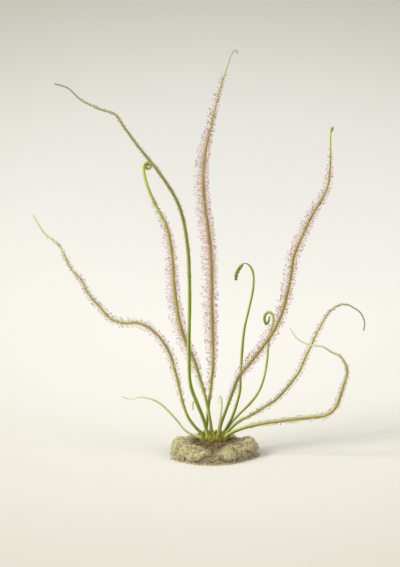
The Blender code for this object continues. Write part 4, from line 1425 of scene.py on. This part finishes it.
# %% Crumbs and sand in place
CRUMB_COUNT = 1300
CRUMB_SIZES = (0.14, 0.44, 3)  # the smallest, the spread and the rarity of large ones
SAND_COUNT = 900
SAND_SIZES = (0.10, 0.16, 2)
SAND_SIDES = 4
SPILLED_COUNT = 650
SPILLED_SIZES = (0.14, 0.5, 3)
SPILLED_REACH = 3.4
crumb_size = grain_sizes(*CRUMB_SIZES, CRUMB_COUNT, mound_rng)
sand_size = grain_sizes(*SAND_SIZES, SAND_COUNT, mound_rng)
spilled_size = grain_sizes(*SPILLED_SIZES, SPILLED_COUNT, mound_rng)
crumbs = grains(*scatter(mound, CRUMB_COUNT, mound_rng, bare), crumb_size, mound_rng)
spilled = grains(*around_foot(SPILLED_COUNT, SPILLED_REACH, mound_rng), spilled_size, mound_rng)
add_piece("peat_crumbs", join([crumbs, spilled]), CRUMB)
sandy = bare * np.linspace(1.0, 0.0, MOUND_LEVELS)[:, None] ** 2  # more sand towards the rim
sand = grains(*scatter(mound, SAND_COUNT, mound_rng, sandy), sand_size, mound_rng, SAND_SIDES)
add_piece("sand_grains", sand, SAND)

# %% [markdown]
# ## Dead fibres
#
# Old roots and dead moss stems hold a real clump together, and fray out at its foot. Each is a thin tube
# whose path wanders over the mound's own coordinates, so that it hugs the flank wherever it goes.

# %% Fibres
FIBRE_COUNT = 520
FIBRE_POINTS = 10
FIBRE_SIDES = 3
FIBRE_START = (0.40, 1.10)
FIBRE_TURN = (-0.42, 0.42)  # how far round the mound it runs, in radians
FIBRE_CLIMB = (-0.30, 0.22)  # how far up or down, as a share of the flank
FIBRE_WAVES = (0.07, 0.05)  # how far it wanders round the mound and up it
FIBRE_WAVE_COUNT = (0.6, 1.6)
FIBRE_LIFT = 0.15
FIBRE_ARCH = (0.1, 0.7)
FIBRE_FRAY = 2.8  # how far it may stand off the rim
FRAY_POWER = 12  # it frays only close to the rim
FIBRE_LIMITS = (0.05, 1.0)  # from just outside the crown's hole to the rim
OVER_MOSS = 0.02  # the cover from which it runs over a cushion
FIBRE_RADIUS = (0.07, 0.15)
FIBRE_TAPER = (1.0, 0.6)
FIBRE_REFERENCE = np.array((0.1, 0.2, 1.0))  # close to upright


def fibre_surface(count, rng):
    """Paths on the mound, which wander round and up, and stand off in an arch of off · sin(π · t)."""
    t = np.linspace(0.0, 1.0, FIBRE_POINTS)[None]

    def draw(low, high):
        """A random number between the two for each fibre."""
        return rng.uniform(low, high, (count, 1))

    def wander(starts, runs, wave):
        """start + run · t + wave · sin(2π · speed · t + phase)"""
        start, run, phase, speed = (
            draw(*limits) for limits in (starts, runs, (0, math.tau), FIBRE_WAVE_COUNT)
        )
        return start + run * t + wave * np.sin(math.tau * speed * t + phase)

    angle = wander((0.0, math.tau), FIBRE_TURN, FIBRE_WAVES[0])
    share = np.clip(wander(FIBRE_START, FIBRE_CLIMB, FIBRE_WAVES[1]), *FIBRE_LIMITS)
    off = draw(*FIBRE_ARCH) * np.sin(math.pi * t)
    off = off + FIBRE_FRAY * rng.random((count, 1)) * share**FRAY_POWER
    cover = moss_cover(angle, share)
    over_moss = np.where(cover > OVER_MOSS, MOSS_THICKNESS * np.sqrt(cover), 0.0)
    paths = clump_point(angle, share, FIBRE_LIFT + off + over_moss)
    radii = draw(*FIBRE_RADIUS) * np.linspace(*FIBRE_TAPER, FIBRE_POINTS - 2)
    surface = sweep(paths, radii, FIBRE_REFERENCE, FIBRE_SIDES)
    mark_copies(surface, "tint", rng.random(count))
    return surface


fibres = fibre_surface(FIBRE_COUNT, np.random.default_rng(70))
print(f"{FIBRE_COUNT} fibres, the furthest {np.hypot(*fibres.points[:, :2].T).max():.0f} mm from the axis")

# %% The colours of the fibres
FIBRE_BROWN, FIBRE_PALE, FIBRE_JOINT = (0.60, 0.48, 0.26), (0.88, 0.82, 0.60), (0.30, 0.22, 0.10)


def fibre_finish():
    """Straw-coloured, each strand a little paler or browner, with darker joints, and peat red near the
    crown as painted shade.
    """
    made, tree, shader = new_material("dead fibres", Roughness=0.8)
    place = object_place(tree)
    joints = use_group(tree, PATCHES, Vector=place, Scale=1100.0, Contrast=4.0)
    colour = mix_colours(tree, mark(tree, "tint"), FIBRE_BROWN, FIBRE_PALE)
    colour = mix_colours(tree, joints, colour, FIBRE_JOINT, share=0.5)
    # painted shade: near the crown the strands take on the red of the peat
    colour = mix_colours(tree, use_group(tree, PAINTED_CROWN_SHADE, Vector=place), colour, PEAT_RED_AND_PAINTED_SHADE, share=0.65)
    grainy_finish(tree, shader, colour, place, scale=4000.0, height=0.00003)
    return made


add_piece("peat_fibres", fibres, fibre_finish())

# %% [markdown]
# ## The moss
#
# Moss in a bog grows in cushions of rounded heads, each head a crowd of shoots with tiny pointed leaves. A
# bump map on a smooth pad would look like felt. So each cushion has heads of its own, raised by the same
# dome formula as the crumbs, and several hundred shoots stand on them, each with six thin leaflets.

# %% Moss cushions
MOSS_RIM = 0.5
CUSHION_SPOKES = 72
CUSHION_RINGS = 22
INNERMOST_RING = 0.06
EDGE_RIPPLES = ((3, 0.06), (5, 0.05), (9, 0.03))  # how many, how deep
CUSHION_DOME = 0.35  # how much of its thickness the whole cushion's dome adds
MOSS_HEADS = 30
OUTERMOST_HEAD = 0.92
HEAD_JITTER = 0.25
HEAD_RADIUS = (1.1, 2.1)
HEAD_HEIGHT = (0.7, 1.0)  # times its radius


def cushion_grid(degrees, half_width, rng):
    """A round patch on the flank: top = clearance + rim + the cushion's dome + the domes of its heads."""
    spoke = once_round(CUSHION_SPOKES)[None]
    ring = np.sin(np.linspace(INNERMOST_RING, 1.0, CUSHION_RINGS) * math.pi / 2)[:, None]
    phases = rng.uniform(0, math.tau, len(EDGE_RIPPLES))
    rows = [(*ripple, phase) for ripple, phase in zip(EDGE_RIPPLES, phases)]
    edge = sum(ripples(spoke, rows), start=1.0)

    def on_flank(ring, spoke, edge, out=0.0):
        """The cushion's own circles, laid on the mound."""
        angle = math.radians(degrees) + math.radians(half_width) * ring * edge * np.cos(spoke)
        return clump_point(angle, MOSS_MIDDLE + MOSS_REACH * ring * edge * np.sin(spoke), out)

    under = on_flank(ring, spoke, edge)
    number = np.arange(MOSS_HEADS)
    head_ring = OUTERMOST_HEAD * np.sqrt((number + 0.5) / MOSS_HEADS)
    head_spoke = number * GOLDEN_ANGLE + rng.normal(0, HEAD_JITTER, MOSS_HEADS)
    centres = on_flank(head_ring, head_spoke, 1.0)
    radii = rng.uniform(*HEAD_RADIUS, MOSS_HEADS)
    heads = domes(under, centres, radii, radii * rng.uniform(*HEAD_HEIGHT, MOSS_HEADS))
    whole = (MOSS_THICKNESS - MOSS_RIM) * np.sqrt(1 - ring**2)
    raised = CLEARANCE + MOSS_RIM + CUSHION_DOME * whole + heads * (1 - ring**6)
    return on_flank(ring, spoke, edge, raised), under, centres


def cushion_surface(top, under):
    """The top from its middle to its edge, and back along the underside."""
    middle_top, middle_under = top[0].mean(axis=0), under[0].mean(axis=0)
    walls = np.concatenate([top, under[::-1]])
    surface = closed_surfaces(walls[None], middle_top[None], middle_under[None])
    # painted shade: reach 0 gives the cushion's body the dark colour of shadow between the shoots
    mark_all(surface, reach=0.0, tint=0.5)
    return surface


print(len(MOSS_CUSHIONS), "cushions with", MOSS_HEADS, "heads each")

# %% [markdown]
# ## Moss shoots
#
# The stem of a shoot hardly shows under its leaflets, so only the leaflets are made. Flat cards would
# vanish when seen from the side. So each is a flattened three-sided tube, which has an edge as well as
# a width. Shoots on one head share a tint, so that the heads stand out from one another.

# %% Shoots
SHOOTS_PER_CUSHION = 400
SHOOT_SINK = 0.1
LEAFLETS = 6
LEAFLET_SIDES = 3
LEAFLET_LENGTH = (0.75, 1.4)
LEAFLET_LEAN = (0.75, 0.3)  # outwards, in radians: the mean and the spread
LEAFLET_CURL = (-0.3, 0.2)
LEAFLET_RADII = 0.07 * np.array((1.0, 0.9))
LEAFLET_WIDTH = 2.6
LEAFLET_SHARES = np.array((0.0, 0.12, 0.55, 1.0))
HEAD_TINT_SPREAD = 0.1


def shoot_surface(places, normals, tints, rng):
    """Leaflets in a circle: place + d · (cos a · normal + sin a · outward) + curl · d² · normal."""
    count = len(places)
    across = unit(np.cross(normals, unit(rng.normal(size=(count, 3)))))
    beside = np.cross(normals, across)
    turn = once_round(LEAFLETS) + rng.uniform(0, math.tau, (count, 1))
    outward = np.cos(turn)[..., None] * across[:, None] + np.sin(turn)[..., None] * beside[:, None]
    lean = rng.normal(*LEAFLET_LEAN, (count, LEAFLETS))[..., None]
    straight = np.cos(lean) * normals[:, None] + np.sin(lean) * outward
    length = rng.uniform(*LEAFLET_LENGTH, (count, LEAFLETS))
    curl = rng.normal(*LEAFLET_CURL, (count, LEAFLETS))[..., None] * normals[:, None]
    straight, curl, outward = (a.reshape(-1, 3) for a in (straight, curl, outward))
    distance = (LEAFLET_SHARES * length.reshape(-1, 1))[..., None]
    start = np.repeat(places - SHOOT_SINK * normals, LEAFLETS, axis=0)
    paths = start[:, None] + distance * straight[:, None] + distance**2 * curl[:, None]
    reference = unit(np.cross(straight, np.repeat(normals, LEAFLETS, axis=0) + 0.1 * outward))[:, None]
    radii = np.broadcast_to(LEAFLET_RADII, (len(paths), 2))
    surface = sweep(paths, radii, reference, LEAFLET_SIDES, width=LEAFLET_WIDTH)
    surface.marks["reach"] = spread_mark(np.tile(LEAFLET_SHARES, (len(paths), 1)), LEAFLET_SIDES)
    mark_copies(surface, "tint", tints)
    return surface


def head_tints(places, centres, rng):
    """Shoots on the same head are of one tint, give or take a little."""
    nearest = np.linalg.norm(places[:, None] - centres[None], axis=-1).argmin(axis=1)
    tints = rng.random(len(centres))[nearest] + rng.normal(0.0, HEAD_TINT_SPREAD, len(places))
    return np.clip(tints, 0.0, 1.0)


print("leaflets on a cushion:", SHOOTS_PER_CUSHION * LEAFLETS)

# %% [markdown]
# ## The colours of the moss
#
# Between the shoots the moss is darkened with painted shade, and the tips of its leaflets are bleached like
# straw.
# The mark that says how far up a leaflet a point lies gives both. Near the crown painted shade gives
# everything the red of the peat.

# %% Moss colours
# painted shade: the dark colour of the leaflets' feet and of the cushion's body, where shadow lies between
# the shoots
MOSS_PAINTED_SHADE = (0.24, 0.18, 0.08)
MOSS_OLIVE = (0.84, 0.75, 0.38)
MOSS_GREY_GREEN = (0.80, 0.78, 0.50)
MOSS_BROWN = (0.66, 0.53, 0.30)
MOSS_TIP = (0.97, 0.92, 0.70)
OUT_OF_PAINTED_SHADE = (2.4, -0.1)  # slope and start over the reach: full just below a leaflet's middle
TIP_PALENESS = (1.8, -0.95)  # the same for its pale tip, which starts past the middle
TINT_PALENESS = (-0.5, 0.9)  # slope and start over the tint: a brown shoot has less pale tips


def moss_finish():
    """Painted shade at the leaflets' feet, olive or grey-green in patches, straw-coloured at the tips, and
    painted shade near the crown.
    """
    made, tree, shader = new_material("moss", Roughness=0.9, Subsurface_Weight=0.1, Subsurface_Scale=0.0004)
    place, tint, reach = object_place(tree), mark(tree, "tint"), mark(tree, "reach")
    patches = use_group(tree, PATCHES, Vector=place, Scale=170.0, Contrast=3.5)
    out_of_painted_shade = calculate(tree, "MULTIPLY_ADD", reach, *OUT_OF_PAINTED_SHADE, clamp=True)
    tip = calculate(tree, "MULTIPLY_ADD", reach, *TIP_PALENESS, clamp=True)
    paleness = calculate(tree, "MULTIPLY_ADD", tint, *TINT_PALENESS)

    colour = mix_colours(tree, patches, MOSS_OLIVE, MOSS_GREY_GREEN)
    colour = mix_colours(tree, tint, colour, MOSS_BROWN, share=0.8)
    # painted shade: the leaflets' feet stay dark
    colour = mix_colours(tree, out_of_painted_shade, MOSS_PAINTED_SHADE, colour)
    colour = mix_colours(tree, tip, colour, MOSS_TIP, paleness)
    # painted shade: near the crown the moss takes on the red of the peat
    colour = mix_colours(tree, use_group(tree, PAINTED_CROWN_SHADE, Vector=place), colour, PEAT_RED_AND_PAINTED_SHADE, share=0.88)
    grainy_finish(tree, shader, colour, place, scale=3500.0, height=0.0001)
    return made


MOSS = moss_finish()
for number, (name, (degrees, half_width)) in enumerate(MOSS_CUSHIONS.items()):
    rng = np.random.default_rng(80 + number)
    top, under, centres = cushion_grid(degrees, half_width, rng)
    places, normals = scatter(top, SHOOTS_PER_CUSHION, rng)
    shoots = shoot_surface(places, normals, head_tints(places, centres, rng), rng)
    add_piece(name + "_shoots", join([cushion_surface(top, under), shoots]), MOSS, name)

# %% [markdown]
# ## Stray shoots
#
# Moss doesn't end at the edge of a cushion. Single shoots stand on the bare peat in between, and lean out
# over the ground round the foot, which gives the clump its lacy edge.

# %% Stray shoots between the cushions
STRAY_SHOOTS = 720
STRAYS_NEAR_CROWN = 0.12  # beside the crown, as a share of those at the rim
RIM_SHOOTS = 260
RIM_REACH = 2.4
RIM_LEAN = 1.2
stray_rng = np.random.default_rng(90)
mossy = bare * np.linspace(1.0, STRAYS_NEAR_CROWN, MOUND_LEVELS)[:, None]
on_mound = scatter(mound, STRAY_SHOOTS, stray_rng, mossy)
rim_places, upright = around_foot(RIM_SHOOTS, RIM_REACH, stray_rng)
leaning = unit(upright + RIM_LEAN * unit(rim_places * (1.0, 1.0, 0.0)))
stray_places = np.concatenate([on_mound[0], rim_places])
stray_normals = np.concatenate([on_mound[1], leaning])
stray = shoot_surface(stray_places, stray_normals, stray_rng.random(len(stray_places)), stray_rng)
add_piece("stray_moss_shoots", stray, MOSS)

# %% [markdown]
# ## The crown
#
# All leaves rise from the crown, a squat rootstock that is wrapped in the dried feet of last year's leaves.
# The body is a turned profile with low lumps, the same profile as the part's.

# %% Crown body
CROWN_PROFILE = np.array([
    (3.0, 1.8), (5.76, 3.4), (6.7, 5.2), (6.5, 6.4), (5.36, 7.35), (3.0, 7.88),
])
CROWN_TOP = 8.0
CROWN_RINGS = 30
CROWN_SPOKES = 90
CROWN_LUMPS = 60
LUMP_RADIUS = (0.6, 1.4)
LUMP_HEIGHT = (0.1, 0.35)
CROWN_HEART = (0.0, 0.0, 4.0)  # the lumps point away from here


def crown_body(rng):
    """A turned profile, raised by low domes."""
    share = np.linspace(0, len(CROWN_PROFILE) - 1, CROWN_RINGS)
    steps = np.arange(len(CROWN_PROFILE))
    radius, height = (np.interp(share, steps, column)[:, None] for column in CROWN_PROFILE.T)
    angle = once_round(CROWN_SPOKES)
    walls = np.stack(np.broadcast_arrays(radius * np.cos(angle), radius * np.sin(angle), height), axis=-1)
    lumps = walls.reshape(-1, 3)[rng.choice(CROWN_RINGS * CROWN_SPOKES, CROWN_LUMPS)]
    radii = rng.uniform(*LUMP_RADIUS, CROWN_LUMPS)
    relief = domes(walls, lumps, radii, rng.uniform(*LUMP_HEIGHT, CROWN_LUMPS))
    walls = walls + relief[..., None] * unit(walls - CROWN_HEART)
    foot, top = np.array([[0.0, 0.0, CROWN_PROFILE[0, 1]]]), np.array([[0.0, 0.0, CROWN_TOP]])
    surface = closed_surfaces(walls[None], foot, top)
    mark_all(surface, reach=0.15, tint=0.3)
    return surface


crown_rng = np.random.default_rng(21)
rootstock = crown_body(crown_rng)
print("the rootstock is", np.round(np.ptp(rootstock.points, axis=0), 1), "mm")

# %% [markdown]
# ## The sheaths
#
# The dried feet of old leaves stand so close that they hide the rootstock. They are flattened tubes, each
# turned on by the golden angle, and spread so that every bit of the top gets as many. The outer ones are
# the oldest: short, dry and brown, and they lean furthest out.

# %% Sheaths
SHEATHS = 200
SHEATH_SIDES = 8
SHEATH_SHARES = np.array((0.0, 0.04, 0.2, 0.4, 0.6, 0.78, 0.92, 1.0))
SHEATH_WIDTHS = np.array((0.45, 0.60, 0.62, 0.54, 0.38, 0.18))
SHEATH_RADIUS = 0.28
SHEATH_GIRTH = (0.7, 1.4)
SHEATH_FLATNESS = 2.1
SHEATH_SPREAD = (0.8, 6.3)  # how far from the axis the innermost and the outermost stand
SHEATH_LEVEL, SHEATH_DROP = 7.3, 1.1  # the height of their feet, and how much lower the outermost is
SHEATH_LENGTH, SHEATH_SHORTENING = 4.6, 2.0
SHEATH_SIZES = (0.6, 1.25)
SHEATH_LEAN = (0.05, 0.55, 0.16)  # of the innermost, how much more at the edge, and the spread
SHEATH_SAG = (-0.02, 0.12)
SHEATH_DRYNESS = (0.1, 0.25)


def level_vectors(first, second):
    """Vectors with no height."""
    return np.column_stack([first, second, np.zeros(len(first))])


def sheath_surface(rng):
    """place = foot + sin lean · d · outward + (cos lean · d − sag · d²) · up.

    The feet lie on a spiral: radius = inner + (outer − inner) · √share.
    """
    share = (np.arange(SHEATHS) + 0.5) / SHEATHS
    angle = np.arange(SHEATHS) * GOLDEN_ANGLE
    inner, outer = SHEATH_SPREAD
    radius = inner + (outer - inner) * np.sqrt(share)
    outward = level_vectors(np.cos(angle), np.sin(angle))
    start = outward * radius[:, None]
    start[:, 2] = SHEATH_LEVEL - SHEATH_DROP * share**4
    sizes = rng.uniform(*SHEATH_SIZES, SHEATHS)
    length = ((SHEATH_LENGTH - SHEATH_SHORTENING * share) * sizes)[:, None]
    least, more, spread = SHEATH_LEAN
    lean = (least + more * share**2 + rng.normal(0, spread, SHEATHS))[:, None]
    distance = SHEATH_SHARES * length
    sag = rng.uniform(*SHEATH_SAG, (SHEATHS, 1))
    away = (np.sin(lean) * distance)[..., None] * outward[:, None]
    up = (np.cos(lean) * distance - sag * distance**2)[..., None] * (0.0, 0.0, 1.0)
    radii = SHEATH_RADIUS * SHEATH_WIDTHS * rng.uniform(*SHEATH_GIRTH, (SHEATHS, 1))
    reference = level_vectors(-np.sin(angle), np.cos(angle))[:, None]
    surface = sweep(start[:, None] + away + up, radii, reference, SHEATH_SIDES, width=SHEATH_FLATNESS)
    surface.marks["reach"] = spread_mark(np.tile(SHEATH_SHARES, (SHEATHS, 1)), SHEATH_SIDES)
    mark_copies(surface, "tint", np.clip(share**3 + rng.normal(*SHEATH_DRYNESS, SHEATHS), 0.0, 1.0))
    return surface


sheaths = sheath_surface(crown_rng)
print(f"{SHEATHS} sheaths, the tallest up to {sheaths.points[:, 2].max():.1f} mm")

# %% Crown colours
CROWN_RED, CROWN_OLIVE = (0.14, 0.065, 0.02), (0.24, 0.17, 0.03)
SHEATH_FRESH, SHEATH_DRY = (0.40, 0.43, 0.04), (0.40, 0.26, 0.10)


def crown_finish():
    """Red-brown at the foot, and golden-olive or dry brown towards the tips."""
    made, tree, shader = new_material("crown", Roughness=0.75)
    place = object_place(tree)
    patches = use_group(tree, PATCHES, Vector=place, Scale=700.0, Contrast=3.0)
    low = mix_colours(tree, patches, CROWN_RED, CROWN_OLIVE)
    high = mix_colours(tree, mark(tree, "tint"), SHEATH_FRESH, SHEATH_DRY)
    colour = mix_colours(tree, mark(tree, "reach"), low, high)
    grainy_finish(tree, shader, colour, place, scale=2500.0, height=0.0001)
    return made


add_piece("crown_rootstock", join([rootstock, sheaths]), crown_finish(), "crown")

# %% [markdown]
# ## Floor and light
#
# The plant stands on a cream floor that fills the whole picture, with a painted falloff of light that makes
# it darker away from a place behind the plant. One large soft light stands to the left, in front and above,
# as in the picture, whose leaves are light on their left sides. The sky gives the rest, so that the shadows
# stay pale.

# %% Floor
FLOOR_RADII = (100.0, 300.0, 700.0, 1500.0, 5000.0, 40000.0)
FLOOR_SPOKES = 48
FLOOR_LEVEL = -0.01
FLOOR_THICKNESS = 1.0
FLOOR_NEAR = (0.85, 0.848, 0.81)
# painted shade: the floor's colour where the painted falloff of light is full
FLOOR_PAINTED_FALLOFF = (0.55, 0.53, 0.45)
FLOOR_MOTTLING = (0.98, 0.93, 0.86)
# the brightest place of the painted falloff lies half a metre behind the plant, and it darkens faster to
# the sides
FLOOR_SHIFT, FLOOR_STRETCH = (-0.02, -0.526, 0.0), (2.5, 1.0, 1.0)
FAR_START, FAR_END = 0.2, 0.95


def floor_finish():
    """Cream, with a painted falloff of light: brightest half a metre behind the plant and darker away from
    there, faster to the sides, with the faintest mottling.
    """
    made, tree, shader = new_material("cream floor", Roughness=0.9, Specular_IOR_Level=0.1)
    place = object_place(tree)
    moved = add_node(tree, "Mapping", Vector=place, Location=FLOOR_SHIFT, Scale=FLOOR_STRETCH)
    distance = distance_out(tree, moved.outputs["Vector"])
    smooth = {"interpolation_type": "SMOOTHSTEP"}
    far = add_node(tree, "MapRange", smooth, Value=distance, From_Min=FAR_START, From_Max=FAR_END)
    mottling = use_group(tree, PATCHES, Vector=place, Scale=9.0, Contrast=1.0)
    # painted falloff of light: the floor darkens away from its brightest place
    colour = mix_colours(tree, far.outputs["Result"], FLOOR_NEAR, FLOOR_PAINTED_FALLOFF)
    colour = mix_colours(tree, mottling, colour, FLOOR_MOTTLING, share=0.06)
    plug(tree, shader.inputs["Base Color"], colour)
    return made


def add_floor():
    """A closed disc: one ring under the middle, then the top's rings from the outermost inwards."""
    angle = once_round(FLOOR_SPOKES)
    radii = np.array(FLOOR_RADII)[::-1, None]
    top = np.stack(np.broadcast_arrays(radii * np.cos(angle), radii * np.sin(angle), FLOOR_LEVEL), axis=-1)
    walls = np.concatenate([top[-1:] - (0.0, 0.0, FLOOR_THICKNESS), top])
    foot, middle = (0.0, 0.0, FLOOR_LEVEL - FLOOR_THICKNESS), (0.0, 0.0, FLOOR_LEVEL)
    mesh = build_mesh("floor", closed_surfaces(walls[None], np.array([foot]), np.array([middle])))
    mesh.materials.append(floor_finish())
    add_object("floor", mesh)
    return len(mesh.polygons)


print("faces of the floor:", add_floor())

# %% [markdown]
# ## Lights
#
# An area light gives soft shadows, as a window does. The second one is weak and stands on the other side,
# so that the leaves' right sides don't go black. Colours stay as they are, with the Standard view.

# %% Lights
LIGHTS = (  # the name, the place in millimetres, the power in watts, and the colour
    ("key light", (-1700.0, -1100.0, 1450.0), 60.0, (1.0, 0.985, 0.95)),
    ("fill light", (1100.0, -700.0, 700.0), 8.5, (1.0, 0.98, 0.95)),
)
LIGHT_SIZE = 1.0
LIT_PLACE = np.array((0.0, 0.0, 70.0))
SKY_COLOUR = (1.0, 0.985, 0.95)
SKY_STRENGTH = 0.55


def add_light(name, place, power, colour):
    """A square soft light that looks at the middle of the plant."""
    data = bpy.data.lights.new(name, "AREA")
    data.size = LIGHT_SIZE
    data.energy = power
    data.color = colour
    light = add_object(name, data)
    light.location = np.array(place) * MM
    towards = unit(LIT_PLACE - np.array(place))
    turn = math.atan2(towards[1], towards[0]) - math.pi / 2
    light.rotation_euler = (math.acos(-towards[2]), 0.0, turn)


def add_sky():
    """The same soft light from everywhere."""
    world = bpy.data.worlds.new("studio")
    world.use_nodes = True
    background = world.node_tree.nodes["Background"]
    background.inputs["Color"].default_value = (*SKY_COLOUR, 1.0)
    background.inputs["Strength"].default_value = SKY_STRENGTH
    bpy.context.scene.world = world


for row in LIGHTS:
    add_light(*row)
add_sky()
bpy.context.scene.view_settings.view_transform = "Standard"
print("lights:", len(bpy.data.lights))
